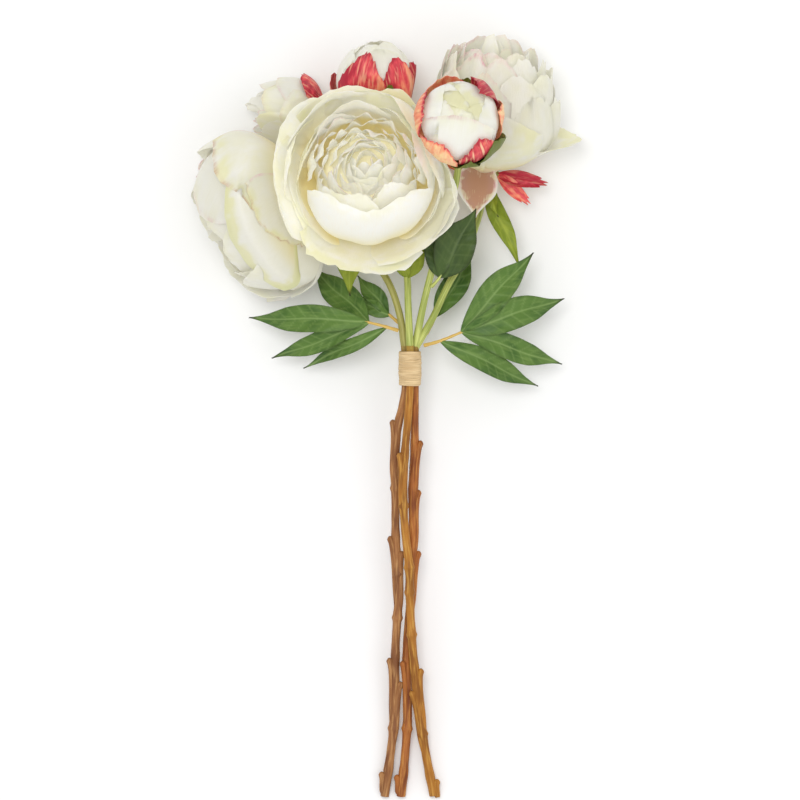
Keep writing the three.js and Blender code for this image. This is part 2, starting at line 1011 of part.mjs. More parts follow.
const leaves = {
  leaf_left: {
    stalk: [
      [-7.9, 25, 45.9],
      [-18, 28, 48],
      [-30, 31, 46],
    ],
    leaflets: [
      { base: [-27, 30.5, 46.5], tip: [-66, 68, 4], width: 19, arch: 2 },
      { base: [-28, 30.8, 46.5], tip: [-108, 34, 16], width: 18, arch: 12 },
      { base: [-27, 30.3, 46.5], tip: [-92.7, 6.7, 14], width: 13.5, arch: 10 },
      { base: [-15, 27, 47], tip: [-71.4, 0, 14], width: 9.5, arch: 8, rows: 4 },
    ],
  },
  leaf_right: {
    stalk: [
      [8.45, 14.75, 45],
      [20, 18, 48],
      [37, 25, 46],
    ],
    leaflets: [
      { base: [34, 24, 46.7], tip: [82.7, 77.4, 26], width: 20, arch: 10 },
      { base: [35, 24.3, 46.7], tip: [103.4, 46.7, 22], width: 20, arch: 12 },
      { base: [34, 24, 46.7], tip: [102, 2.7, 16], width: 16, arch: 12 },
      { base: [20, 18, 48], tip: [86, -12, 14], width: 15, arch: 10 },
    ],
  },
  leaf_centre: {
    stalk: [
      [14.2, 54, 51],
      [18, 58, 53],
      [22, 63, 54],
    ],
    leaflets: [
      { base: [20, 60, 53.5], tip: [44, 106, 56], width: 26, arch: 4 },
      { base: [20, 60, 53.5], tip: [16, 98, 52], width: 18, arch: 3, rows: 4 },
    ],
  },
  leaf_behind_right: {
    stalk: [
      [11.1, 23, 39.7],
      [15, 30, 35],
      [19, 38, 31],
    ],
    leaflets: [{ base: [17, 34, 33], tip: [43, 80, 14], width: 17, arch: 3 }],
  },
  leaf_behind_left: {
    stalk: [
      [-7.3, 30, 42.4],
      [-12, 34, 38],
      [-16, 38, 35],
    ],
    leaflets: [
      { base: [-14, 36, 36.5], tip: [-35, 62, 24], width: 12, arch: 3, rows: 4 },
      { base: [-13, 35, 37], tip: [-42, 47, 24], width: 11, arch: 3, rows: 4 },
    ],
  },
};

// The raffia wound round the stems: a ring with one raised band for each few turns.
function tieSolid() {
  const bands = 4;
  const pitch = TIE_LENGTH / bands;
  const half = TIE_LENGTH / 2;
  const profile = [new THREE.Vector2(TIE_INNER, -half)];
  for (let band = 0; band < bands; band++) {
    const start = -half + band * pitch;
    profile.push(new THREE.Vector2(TIE_OUTER - 0.35, start + pitch * 0.04));
    profile.push(new THREE.Vector2(TIE_OUTER, start + pitch * 0.5));
  }
  profile.push(new THREE.Vector2(TIE_OUTER - 0.35, half));
  profile.push(new THREE.Vector2(TIE_INNER, half));
  profile.push(profile[0].clone());
  const lathe = new THREE.LatheGeometry(profile, 14);
  lathe.rotateX(Math.atan(SLOPE));
  lathe.translate(0, 0, TIE_HEIGHT + 0.2);
  return toSolid(lathe);
}

addNode("stem_left", joined(stemSolids(leftStem)).subtract(tableSolid()), OLIVE_WOOD);
addNode("stem_middle", joined(stemSolids(middleStem)).subtract(tableSolid()), RED_WOOD);
addNode("stem_right", joined(stemSolids(rightStem)).subtract(tableSolid()), GREEN_WOOD);
addNode("raffia_tie", tieSolid(), RAFFIA);
addNode("bloom_main", headSolid(mainHead), CREAM);
addNode("bloom_left", headSolid(leftHead), CREAM);
addNode("bloom_right", headSolid(rightHead), CREAM);
addNode("bloom_back_left", headSolid(backLeftHead), CREAM);
addNode("bud_top", headSolid(topBud), CREAM);
addNode("bud_round", headSolid(roundBud), CREAM);
addNode("calyx_bloom_right", calyxSolid(rightHead), BLUSH);
addNode("calyx_back_left", calyxSolid(backLeftHead), BLUSH);
addNode("calyx_bud_top", calyxSolid(topBud), BLUSH);
addNode("calyx_bud_round", calyxSolid(roundBud), BLUSH);
for (const [name, leaf] of Object.entries(leaves)) addNode(name, leafSolid(leaf), DARK_LEAF);

// The origin: the centre of the footprint, on the surface.
const box = new THREE.Box3().setFromObject(bunch);
const middle = box.getCenter(new THREE.Vector3());
bunch.position.set(-middle.x, -middle.y, -box.min.z);
bunch.updateMatrixWorld(true);

export default bunch;
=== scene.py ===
import math
import random

import bpy
import numpy as np
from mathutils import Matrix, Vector


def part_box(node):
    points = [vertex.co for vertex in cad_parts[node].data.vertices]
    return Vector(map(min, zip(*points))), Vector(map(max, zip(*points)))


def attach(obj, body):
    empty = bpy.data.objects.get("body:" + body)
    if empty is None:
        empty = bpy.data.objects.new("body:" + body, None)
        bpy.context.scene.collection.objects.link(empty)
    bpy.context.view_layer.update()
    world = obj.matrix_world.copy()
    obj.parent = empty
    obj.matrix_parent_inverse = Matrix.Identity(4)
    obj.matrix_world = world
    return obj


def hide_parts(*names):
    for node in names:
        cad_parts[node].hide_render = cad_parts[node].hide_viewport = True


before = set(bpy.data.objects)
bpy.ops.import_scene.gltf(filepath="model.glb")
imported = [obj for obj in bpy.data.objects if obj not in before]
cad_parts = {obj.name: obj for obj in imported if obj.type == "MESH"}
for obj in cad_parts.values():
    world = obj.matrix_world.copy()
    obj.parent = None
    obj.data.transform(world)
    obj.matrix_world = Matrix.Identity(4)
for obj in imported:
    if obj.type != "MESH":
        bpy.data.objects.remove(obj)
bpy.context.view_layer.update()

MM = 0.001
tie_low, tie_high = (np.array(corner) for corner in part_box("raffia_tie"))
SHIFT = np.array([(tie_low[0] + tie_high[0]) / 2, (tie_low[1] + tie_high[1]) / 2, 0.0])

TIE_HEIGHT = 45.0
TIE_LENGTH = 24.0
TIE_RADIUS = 6.85
STEM_LENGTH = 288.0
STEM_START = 15
STEM_TOPS = [2.65, 2.6, 2.7, 2.75, 2.8, 2.85, 2.95]
STEM_REST_HEIGHT = 2.45
STUB_LENGTH = 48
BRANCH_RADIUS = 2.3
SLOPE = (TIE_HEIGHT - STEM_REST_HEIGHT) / STEM_LENGTH

PETAL_THICKNESS = 0.34
GUARD_THICKNESS = 0.5
LEAF_THICKNESS = 0.4
CALYX_THICKNESS = 1.6
RECEPTACLE_THICKNESS = 3.0
SEAT_GAP = 0.35
SHARP_ANGLE = 62

PRESS_SHARE = 0.16
FOOT_SHARE = 0.93
GUARDED_FOOT_SHARE = 0.85
ROOT_SPREAD = 0.12
FULL_SPREAD_REACH = 0.65
CURL_START = 0.72
LAYER_STEP = 12.0
STAGGER = 0.03
PETAL_LENGTH_SHARE = 0.9
NEXT_PETAL_NOISE = 17.0
GOLDEN_TURN = 137.5
LOWEST_PETAL = 0.25
LOWEST_LEAF = 0.3
HEART_INSET = 2.5
SEAT_SHARE = 0.17
CALYX_OVERHANG = 1.2
BRANCH_SINK = 0.67
STRANDS = 13
HEART_OUTLINE = [
    (0.01, -0.97), (0.16, -0.97), (0.42, -0.62), (0.5, 0), (0.38, 0.24), (0.2, 0.33), (0.01, 0.36),
]
# Strength of the painted glow that lights the petals as though light came through them.
PAINTED_GLOW_STRENGTH = 0.09

PHOTO_SIZE = 800
MM_PER_PIXEL = 0.667
TIE_PIXEL = (410, 368)
LENS = 300.0
SENSOR = 36.0
FLOOR_REACH = 6.0
SKY_LIGHT = 0.76
LIT_PLACE = Vector((0, 0.15, 0.05))
LIGHTS = {
    "key": dict(place=(-0.25, 0.4, 2.5), size=1.0, power=21),
    "fill": dict(place=(0.9, -0.5, 2.0), size=1.4, power=5),
}


# Small helpers

def vector(values):
    return np.array(values, dtype=float)


def unit(values):
    values = vector(values)
    return values / np.linalg.norm(values)


def mix(low, high, share):
    return low + (high - low) * share


def smooth(low, high, value):
    share = np.clip((value - low) / (high - low), 0, 1)
    return share * share * (3 - 2 * share)


def bell(distance, width):
    return math.exp(-((distance / width) ** 2))


def steps(rows, cols):
    """How far along a sheet, 0 to 1, and across it, -1 to 1, its points are."""
    return np.linspace(0, 1, rows + 1)[:, None], np.linspace(-1, 1, cols + 1)[None, :]


class Shape:
    """The points, faces and point values of one piece, gathered from its parts."""

    VALUES = ("shade", "blush", "green", "tone")

    def __init__(self):
        self.points = []
        self.faces = []
        self.slots = []
        self.coords = []
        self.values = {name: [] for name in self.VALUES}
        self.count = 0

    def add(self, points, faces, slot=0, coord=None, **values):
        """Adds one part. coord is where its material takes its points to be."""
        points = np.asarray(points, dtype=float).reshape(-1, 3)
        self.points.append(points)
        self.faces.extend([[self.count + i for i in face] for face in faces])
        self.slots.extend([slot] * len(faces))
        self.coords.append(points if coord is None else coord.reshape(-1, 3))
        for name in self.VALUES:
            value = np.asarray(values.get(name, 0.0), dtype=float)
            self.values[name].append(np.broadcast_to(value, len(points)))
        self.count += len(points)

    def build(self, node, materials):
        """Builds the piece that takes the place of a node."""
        mesh = bpy.data.meshes.new("peony_" + node)
        placed = np.concatenate(self.points) * MM + SHIFT
        mesh.from_pydata(placed.tolist(), [], self.faces)
        coords = mesh.attributes.new("coord", "FLOAT_VECTOR", "POINT")
        coords.data.foreach_set("vector", np.concatenate(self.coords).ravel())
        for value_name, parts in self.values.items():
            attribute = mesh.attributes.new(value_name, "FLOAT", "POINT")
            attribute.data.foreach_set("value", np.concatenate(parts))
        for material in materials:
            mesh.materials.append(material)
        mesh.polygons.foreach_set("material_index", self.slots)
        mesh.polygons.foreach_set("use_smooth", [True] * len(self.faces))
        mesh.set_sharp_from_angle(angle=math.radians(SHARP_ANGLE))
        mesh.update()
        piece = bpy.data.objects.new("peony_" + node, mesh)
        bpy.context.collection.objects.link(piece)
        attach(piece, "root")
        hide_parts(node)


def ring_faces(rings, sides, closed=False):
    """Faces from each ring of points to the next, and from the last to the first where closed."""
    faces = []
    for ring in range(rings if closed else rings - 1):
        start, after = ring * sides, (ring + 1) % rings * sides
        for side in range(sides):
            end = (side + 1) % sides
            faces.append([start + side, start + end, after + end, after + side])
    return faces


def grid_normals(grid):
    normals = np.cross(np.gradient(grid, axis=1), np.gradient(grid, axis=0))
    length = np.linalg.norm(normals, axis=2, keepdims=True)
    return normals / np.maximum(length, 1e-9)


def add_blade(shape, grid, thickness, slot, coord, **values):
    """Adds a closed sheet round a grid of points, thinner towards its edges."""
    rows, cols = grid.shape[:2]
    along, across = steps(rows - 1, cols - 1)
    thin = 1 - 0.55 * np.maximum(across**6, along**10)
    offset = grid_normals(grid) * (thickness / 2 * thin)[..., None]
    points = np.concatenate([(grid + offset).reshape(-1, 3), (grid - offset).reshape(-1, 3)])
    under = rows * cols
    faces = []
    for row in range(rows - 1):
        for col in range(cols - 1):
            a = row * cols + col
            b, c, d = a + 1, a + cols, a + cols + 1
            faces.append([a, b, d, c])
            faces.append([under + a, under + c, under + d, under + b])
    rim = list(range(cols - 1))
    rim += [row * cols + cols - 1 for row in range(rows - 1)]
    rim += [(rows - 1) * cols + col for col in range(cols - 1, 0, -1)]
    rim += [row * cols for row in range(rows - 1, 0, -1)]
    for start, end in zip(rim, rim[1:] + rim[:1]):
        faces.append([start, under + start, under + end, end])
    doubled = {
        name: np.concatenate([np.broadcast_to(value, (rows, cols)).ravel()] * 2)
        for name, value in values.items()
    }
    shape.add(points, faces, slot, np.concatenate([coord.reshape(-1, 3)] * 2), **doubled)


def smooth_path(points, count):
    """A centripetal Catmull-Rom curve through the points, evenly spaced."""
    points = [vector(point) for point in points]
    points = [2 * points[0] - points[1], *points, 2 * points[-1] - points[-2]]
    fine = []
    for a, b, c, d in zip(points, points[1:], points[2:], points[3:]):
        gaps = [max(np.linalg.norm(q - p), 1e-6) ** 0.5 for p, q in ((a, b), (b, c), (c, d))]
        start = (b - a) / gaps[0] - (c - a) / (gaps[0] + gaps[1]) + (c - b) / gaps[1]
        end = (c - b) / gaps[1] - (d - b) / (gaps[1] + gaps[2]) + (d - c) / gaps[2]
        start *= gaps[1]
        end *= gaps[1]
        for t in np.linspace(0, 1, 24, endpoint=False):
            cubic = 2 * b - 2 * c + start + end
            square = -3 * b + 3 * c - 2 * start - end
            fine.append(cubic * t**3 + square * t**2 + start * t + b)
    fine.append(points[-2])
    fine = np.array(fine)
    pieces = np.linalg.norm(np.diff(fine, axis=0), axis=1)
    length = np.concatenate([[0], np.cumsum(pieces)])
    wanted = np.linspace(0, length[-1], count)
    return np.stack([np.interp(wanted, length, fine[:, i]) for i in range(3)], axis=1), wanted


def add_tube(shape, path, radius_of, sides, slot=0, seed=0.0, **values):
    """Adds a closed tube. radius_of takes the distance along it and the angle round it."""
    centres, length = path
    tangents = np.gradient(centres, axis=0)
    tangents /= np.linalg.norm(tangents, axis=1, keepdims=True)
    normal = np.cross(tangents[0], [0.3, 0.2, 1.0])
    angles = np.linspace(0, 2 * np.pi, sides, endpoint=False)
    rings = []
    for centre, tangent, distance in zip(centres, tangents, length):
        normal = normal - tangent * (normal @ tangent)
        normal /= np.linalg.norm(normal)
        binormal = np.cross(tangent, normal)
        radii = np.asarray(radius_of(distance, angles), dtype=float) * np.ones(sides)
        ring = np.cos(angles)[:, None] * normal + np.sin(angles)[:, None] * binormal
        rings.append(centre + ring * radii[:, None])
    count = len(centres)
    points = np.concatenate([np.concatenate(rings), centres[:1], centres[-1:]])
    faces = ring_faces(count, sides)
    first, last = count * sides, count * sides + 1
    top = (count - 1) * sides
    for side in range(sides):
        after = (side + 1) % sides
        faces.append([after, side, first])
        faces.append([top + side, top + after, last])
    coord = np.zeros((len(points), 3))
    coord[:first, 0] = np.tile(np.cos(angles), count) * 3
    coord[:first, 1] = np.repeat(length, sides)
    coord[:first, 2] = np.tile(np.sin(angles), count) * 3 + seed
    coord[first] = [0, length[0] - 1, seed]
    coord[last] = [0, length[-1] + 1, seed]
    spread = {}
    for name, value in values.items():
        value = np.broadcast_to(value, count)
        spread[name] = np.concatenate([np.repeat(value, sides), value[:1], value[-1:]])
    if "shade" not in spread:
        spread["shade"] = np.ones(len(points))
        spread["shade"][first:] = 0
    shape.add(points, faces, slot, coord, **spread)


# Materials

class Paint:
    """The nodes of one material, and the colour that is mixed so far."""

    def __init__(self, name):
        self.material = bpy.data.materials.new(name)
        self.material.use_nodes = True
        self.tree = self.material.node_tree
        self.shader = self.tree.nodes["Principled BSDF"]
        self.color = None

    def node(self, kind, **settings):
        node = self.tree.nodes.new("ShaderNode" + kind)
        for name, value in settings.items():
            setattr(node, name, value)
        return node

    def feed(self, socket, value):
        """Gives a socket a number, a colour or what another node puts out."""
        if isinstance(value, bpy.types.NodeSocket):
            self.tree.links.new(value, socket)
        elif socket.type == "RGBA":
            socket.default_value = (*value, 1)
        else:
            socket.default_value = value

    def point_value(self, name, output="Fac"):
        return self.node("Attribute", attribute_name=name).outputs[output]

    def noise(self, stretch, detail=3.0):
        """Noise, with how often it repeats across, along and through a part."""
        mapping = self.node("Mapping")
        self.feed(mapping.inputs["Vector"], self.point_value("coord", "Vector"))
        self.feed(mapping.inputs["Scale"], stretch)
        node = self.node("TexNoise")
        self.feed(node.inputs["Vector"], mapping.outputs["Vector"])
        self.feed(node.inputs["Scale"], 1.0)
        self.feed(node.inputs["Detail"], detail)
        return node.outputs["Fac"]

    def remap(self, value, low, high, start=0.0, end=1.0):
        """Takes the range from low to high softly to the range from start to end."""
        node = self.node("MapRange", interpolation_type="SMOOTHSTEP")
        limits = {"From Min": low, "From Max": high, "To Min": start, "To Max": end}
        self.feed(node.inputs["Value"], value)
        for name, limit in limits.items():
            self.feed(node.inputs[name], limit)
        return node.outputs["Result"]

    def maths(self, operation, a, b):
        node = self.node("Math", operation=operation)
        self.feed(node.inputs[0], a)
        self.feed(node.inputs[1], b)
        return node.outputs["Value"]

    def times(self, a, b):
        return self.maths("MULTIPLY", a, b)

    def blend(self, share, low, high, kind="MIX"):
        node = self.node("Mix", data_type="RGBA", blend_type=kind)
        sockets = {socket.identifier: socket for socket in node.inputs}
        self.feed(sockets["Factor_Float"], share)
        self.feed(sockets["A_Color"], low)
        self.feed(sockets["B_Color"], high)
        return next(s for s in node.outputs if s.identifier == "Result_Color")

    def over(self, share, color, kind="MIX"):
        """Lays a colour over the one that is mixed so far."""
        self.color = self.blend(share, self.color, color, kind)

    def bump(self, distance, *heights):
        """Bumps from (value, strength) pairs, one after the other."""
        normal = None
        for height, strength in heights:
            node = self.node("Bump")
            self.feed(node.inputs["Strength"], strength)
            self.feed(node.inputs["Distance"], distance)
            self.feed(node.inputs["Height"], height)
            if normal is not None:
                self.feed(node.inputs["Normal"], normal)
            normal = node.outputs["Normal"]
        self.feed(self.shader.inputs["Normal"], normal)

    def finish(self, inputs):
        """Gives the shader the mixed colour and its other inputs."""
        self.feed(self.shader.inputs["Base Color"], self.color)
        for name, value in inputs.items():
            self.feed(self.shader.inputs[name], value)
        return self.material


def petal_material():
    """Cream petals: shade runs from gold at a petal's foot to pale at its tip, partly painted shade;
    blush is its pink and green its tint.

    A weak glow is painted light: it stands for the light that comes through the thin petals round a
    hollow.
    """
    mat = Paint("petal")
    veins = mat.noise((1.3, 0.09, 1.0), 4.0)
    cloud = mat.noise((0.07, 0.05, 1.0), 2.0)
    green = mat.point_value("green")
    shade = mat.maths("ADD", mat.point_value("shade"), mat.times(cloud, 0.24))
    shade = mat.maths("SUBTRACT", shade, 0.12)
    # Gold where shade is low: partly the petals' own yellow foot, partly painted shade in the hollows.
    mat.color = mat.blend(mat.remap(shade, 0.0, 0.55), (0.89, 0.77, 0.40), (0.92, 0.86, 0.63))
    mat.over(mat.remap(shade, 0.35, 0.95), (0.935, 0.925, 0.885))
    mat.over(mat.times(green, mat.remap(cloud, 0.3, 0.62)), (0.87, 0.85, 0.52))
    mat.over(mat.remap(green, 1.2, 4.0), (0.80, 0.80, 0.38))
    mat.over(mat.times(mat.remap(veins, 0.42, 0.72), 0.10), (0.74, 0.69, 0.50))
    # Painted shade: tone multiplies the petals of a dimmer head or petal towards grey.
    mat.over(mat.point_value("tone"), (0.77, 0.76, 0.70), "MULTIPLY")
    patches = mat.remap(mat.noise((0.11, 0.11, 1.0), 2.0), 0.38, 0.62, 0.25, 1.0)
    pink = mat.times(mat.point_value("blush"), mat.remap(veins, 0.3, 0.6, 0.45, 0.9))
    mat.over(mat.times(pink, patches), mat.blend(green, (0.80, 0.33, 0.52), (0.40, 0.17, 0.09)))
    mat.bump(0.0003, (veins, 0.35), (mat.noise((0.9, 0.9, 1.0)), 0.15))
    # Painted glow colour: golden where shade is low, in the hollows, and pale towards the tips.
    through = mat.blend(mat.remap(shade, 0.1, 0.9), (0.92, 0.78, 0.38), (0.88, 0.88, 0.81))
    return mat.finish({
        "Roughness": 0.55,
        "Specular IOR Level": 0.3,
        "Subsurface Weight": 0.6,
        "Subsurface Radius": (0.95, 0.95, 1.0),
        "Subsurface Scale": 0.002,
        "Sheen Weight": 0.08,
        "Emission Color": through,
        "Emission Strength": PAINTED_GLOW_STRENGTH,
    })


def guard_material():
    """Guard petals: tone runs from dark red over orange to yellow, with pale streaks."""
    mat = Paint("guard_petal")
    streaks = mat.noise((0.55, 0.07, 1.0), 5.0)
    blotches = mat.noise((0.26, 0.13, 1.0))
    tone = mat.maths("ADD", mat.point_value("tone"), mat.times(blotches, 1.1))
    tone = mat.maths("SUBTRACT", tone, 0.55)
    mat.color = mat.blend(mat.remap(tone, 0.02, 0.38), (0.42, 0.012, 0.035), (0.74, 0.07, 0.09))
    mat.over(mat.remap(tone, 0.3, 0.62), (0.93, 0.32, 0.18))
    mat.over(mat.remap(tone, 0.62, 0.95), (0.97, 0.66, 0.34))
    mat.over(mat.times(mat.remap(streaks, 0.50, 0.66), mat.point_value("blush")), (0.94, 0.54, 0.33))
    mat.over(mat.times(mat.remap(streaks, 0.44, 0.30), 0.35), (0.42, 0.02, 0.04))
    mat.bump(0.0004, (streaks, 0.5))
    return mat.finish({"Roughness": 0.5, "Specular IOR Level": 0.35})


def leaf_material(name, deep, mid, light, vein):
    """Leaf colours: shade is light along the rib and veins, tone paler, blush a dark edge."""
    mat = Paint(name)
    grain = mat.noise((0.6, 0.10, 1.0), 4.0)
    cloud = mat.noise((0.10, 0.05, 1.0), 2.0)
    veins = mat.point_value("shade")
    mat.color = mat.blend(mat.remap(cloud, 0.25, 0.6), deep, mid)
    mat.over(mat.times(mat.remap(grain, 0.45, 0.75), 0.5), light)
    mat.over(mat.times(veins, 0.6), vein)
    mat.over(mat.point_value("tone"), light)
    mat.over(mat.point_value("blush"), (0.03, 0.04, 0.015))
    mat.bump(0.0004, (veins, 0.5), (grain, 0.3))
    roughness = mat.remap(grain, 0.3, 0.7, 0.42, 0.58)
    return mat.finish({"Roughness": roughness, "Specular IOR Level": 0.25})


def bark_material(name, dark, mid, light):
    """Bark with long streaks and small warts, green by tone, and a dark cut end by shade."""
    mat = Paint(name)
    streaks = mat.noise((0.8, 0.07, 0.8), 5.0)
    cloud = mat.noise((0.12, 0.035, 0.12), 2.0)
    warts = mat.noise((1.6, 1.1, 1.6), 2.0)
    mat.color = mat.blend(mat.remap(cloud, 0.30, 0.66), dark, mid)
    mat.over(mat.remap(streaks, 0.46, 0.72), light)
    mat.over(mat.times(mat.remap(streaks, 0.44, 0.28), 0.7), dark)
    mat.over(mat.times(mat.remap(warts, 0.60, 0.72), 0.45), dark)
    mat.over(mat.point_value("tone"), (0.27, 0.33, 0.07))
    mat.over(mat.remap(mat.point_value("shade"), 0.9, 0.3), (0.10, 0.055, 0.03))
    mat.bump(0.0006, (streaks, 0.7), (warts, 0.35))
    roughness = mat.remap(streaks, 0.3, 0.7, 0.45, 0.65)
    return mat.finish({"Roughness": roughness, "Specular IOR Level": 0.25})


def green_stem_material():
    mat = Paint("green_stem")
    streaks = mat.noise((0.7, 0.05, 0.7), 4.0)
    mat.color = mat.blend(mat.remap(streaks, 0.35, 0.7), (0.30, 0.36, 0.07), (0.60, 0.64, 0.19))
    mat.over(mat.point_value("tone"), (0.30, 0.21, 0.06))
    mat.bump(0.0004, (streaks, 0.5))
    return mat.finish({"Roughness": mat.remap(streaks, 0.3, 0.7, 0.42, 0.55)})


def stalk_material():
    mat = Paint("stalk")
    streaks = mat.noise((0.9, 0.08, 0.9))
    mat.color = mat.blend(mat.remap(streaks, 0.35, 0.65), (0.60, 0.36, 0.06), (0.72, 0.50, 0.14))
    mat.bump(0.0003, (streaks, 0.4))
    return mat.finish({"Roughness": mat.remap(streaks, 0.3, 0.7, 0.45, 0.6)})


def raffia_material():
    mat = Paint("raffia")
    fibres = mat.noise((2.2, 0.09, 2.2), 5.0)
    cloud = mat.noise((0.15, 0.06, 0.15), 2.0)
    mat.color = mat.blend(mat.remap(fibres, 0.35, 0.68), (0.52, 0.33, 0.14), (0.84, 0.63, 0.35))
    mat.over(mat.times(cloud, 0.5), (0.80, 0.62, 0.37))
    mat.bump(0.0005, (fibres, 0.8))
    return mat.finish({"Roughness": mat.remap(fibres, 0.3, 0.7, 0.6, 0.8)})


def floor_material():
    mat = Paint("floor")
    grain = mat.node("TexNoise")
    mat.feed(grain.inputs["Scale"], 60.0)
    mat.color = mat.blend(grain.outputs["Fac"], (0.93, 0.93, 0.93), (0.95, 0.95, 0.95))
    return mat.finish({"Roughness": 0.9, "Specular IOR Level": 0.1})


PETAL = petal_material()
GUARD_PETAL = guard_material()
LEAF = leaf_material("leaf", (0.045, 0.11, 0.018), (0.10, 0.19, 0.035),
                     (0.19, 0.29, 0.075), (0.26, 0.38, 0.12))
PALE_LEAF = leaf_material("pale_leaf", (0.17, 0.23, 0.018), (0.24, 0.30, 0.024),
                          (0.40, 0.46, 0.06), (0.36, 0.42, 0.05))
GREEN_STEM = green_stem_material()
STALK = stalk_material()
RAFFIA = raffia_material()
OLIVE_BARK = bark_material("olive_wood", (0.19, 0.07, 0.025), (0.37, 0.16, 0.055), (0.52, 0.28, 0.11))
RED_BARK = bark_material("red_wood", (0.19, 0.05, 0.015), (0.42, 0.14, 0.03), (0.55, 0.24, 0.06))
GOLD_BARK = bark_material("green_wood", (0.24, 0.085, 0.012), (0.45, 0.18, 0.025), (0.56, 0.29, 0.06))


# Heads. Each has a centre, an axis out of its mouth, a side that its turns count from, a half width,
# and how far it reaches behind and in front of its centre. Its walls are flat faces that petals are
# pressed against. dull is painted shade that greys and darkens its petals.

def head_axes(head):
    axis = unit(head["axis"])
    side = vector(head["side"])
    side = unit(side - axis * (side @ axis))
    return side, np.cross(axis, side), axis


def press(points, head, inset):
    """Pushes points softly in front of the head's walls and above the floor."""
    centre = vector(head["centre"])
    band = head["width"] * PRESS_SHARE
    for direction, distance in head["walls"] * 2:
        normal = unit(direction)
        limit = distance - inset
        depth = (points - centre) @ normal
        past = depth - (limit - band)
        pressed = limit - band * np.exp(-np.maximum(past, 0) / band)
        points = points + (np.where(past > 0, pressed - depth, 0))[..., None] * normal
    points[..., 2] = np.maximum(points[..., 2], LOWEST_PETAL)
    return points


def petal(turn, end, span, flare=0, **look):
    """One petal: its turn round the head, how far up it ends and its span, all in degrees.

    flare bends it outwards. The look can change what the petal's layer says, and names its colours:
    blush, green, rim_green and side_green, or tone, lean and rim_tone, and dull, its painted shade.
    """
    return dict(turn=turn, end=end, span=span, flare=flare,
                phase=math.radians(turn), waves=4) | look


def whole_petal(layer, own, number):
    """A petal with all that its layer says. Those with no size of their own differ a little."""
    whole = {**layer, **own, "flare": layer["flare"] + own["flare"]}
    if "size" in layer and "size" not in own:
        whole["size"] -= STAGGER * (0.37 * number % 1)
    return whole


def shell_of(head, form):
    """The half width of the shell that a petal lies on, its middle, and how deep and high it is."""
    if "outside" in form:
        out = form["outside"]
        return head["width"] + out, 0.0, head["back"] + form["root"], head["front"] + out
    back = head["back"] * (GUARDED_FOOT_SHARE if "guards" in head else FOOT_SHARE)
    size = form["size"]
    middle = -back * (1 - size)
    return head["width"] * size, middle, back * size, head["front"] * form["top"] - middle


def petal_edge(form, across):
    """How far up a petal reaches: rounded, notched, ragged, and lower on one side by its skew."""
    phase = form["phase"]
    rags = np.sin(23 * across + phase * 3) + 0.7 * np.sin(37 * across + phase * 5)
    slant = (abs(form["skew"]) - form["skew"] * across) / 2
    edge = 1 - form["round"] * across**2
    edge = edge + form["notch"] * np.cos(form["waves"] * across + phase)
    return edge - form["fringe"] * (0.6 + 0.5 * rags) - slant


def petal_lift(form, across, reach, widening):
    """How far a petal stands off its shell, from its folds, its cup and its rolled rim."""
    phase = form["phase"]
    swell = np.sin(np.pi * reach)
    lift = form["tuck"] * across + form["flare"] * reach**4
    lift = lift + form["curl"] * np.clip((reach - CURL_START) / (1 - CURL_START), 0, 2) ** 2
    lift = lift + form["ruffle"] * reach**2 * np.sin(form["waves"] * across + phase)
    lift = lift + form["frill"] * reach**7 * np.sin(form["frills"] * across + phase * 2)
    lift = lift + form["pleat"] * swell * np.cos(9 * across + phase * 4)
    lift = lift + form["dimple"] * swell * np.sin(2.6 * across + phase) * np.cos(7 * reach + phase)
    return lift + form["cup"] * (across**2 - 0.3) * widening


def petal_grid(head, form):
    """The points of a petal's mid surface, with how far across and along each one is."""
    width, middle, depth, height = shell_of(head, form)
    along, across = steps(form["rows"], form["cols"])
    reach = (1 - (1 - along) ** 1.15) * petal_edge(form, across)
    polar = np.radians(mix(form["start"], form["end"], reach))
    widening = np.sin(np.minimum(reach / FULL_SPREAD_REACH, 1) * np.pi / 2)
    closing = np.sin(np.clip(polar, np.pi / 2, np.pi * 0.93)) ** form["taper"]
    bend = across * math.radians(form["span"]) * mix(ROOT_SPREAD, 1, widening) * closing
    lift = petal_lift(form, across, reach, widening)
    radius = width * (1 - form["dive"] * (1 - reach) ** 4) + lift
    outward = radius * np.sin(polar) * np.cos(bend)
    sideways = radius * np.sin(bend)
    shell = np.where(polar < np.pi / 2, depth, height)
    axial = middle - (shell + lift) * np.cos(polar) * np.cos(bend)
    turn = math.radians(form["turn"])
    local = [
        outward * math.cos(turn) - sideways * math.sin(turn),
        outward * math.sin(turn) + sideways * math.cos(turn),
        axial,
    ]
    points = vector(head["centre"]) + sum(
        part[..., None] * way for part, way in zip(local, head_axes(head))
    )
    inset = form["inset"] + LAYER_STEP * (1 - form.get("size", 1))
    return press(points, head, inset), across * np.ones_like(reach), reach


def cream_values(form, head, across, along, rim):
    """A cream petal's pink rim, its green edges, and the painted shade that greys it."""
    edges = form["rim_green"] * smooth(0.8, 1.0, along)
    edges = edges + form["side_green"] * smooth(0.68, 0.98, -across)
    dull = form.get("dull", head["dull"])
    return dict(blush=rim * form["blush"], green=form["green"] + edges, tone=dull)


def guard_values(form, across, rim):
    """A guard petal's tone, which leans to one side and changes at the rim, and its streaks."""
    tone = form["tone"] + form["lean"] * across
    return dict(blush=form["blush"], tone=tone + form["rim_tone"] * rim)


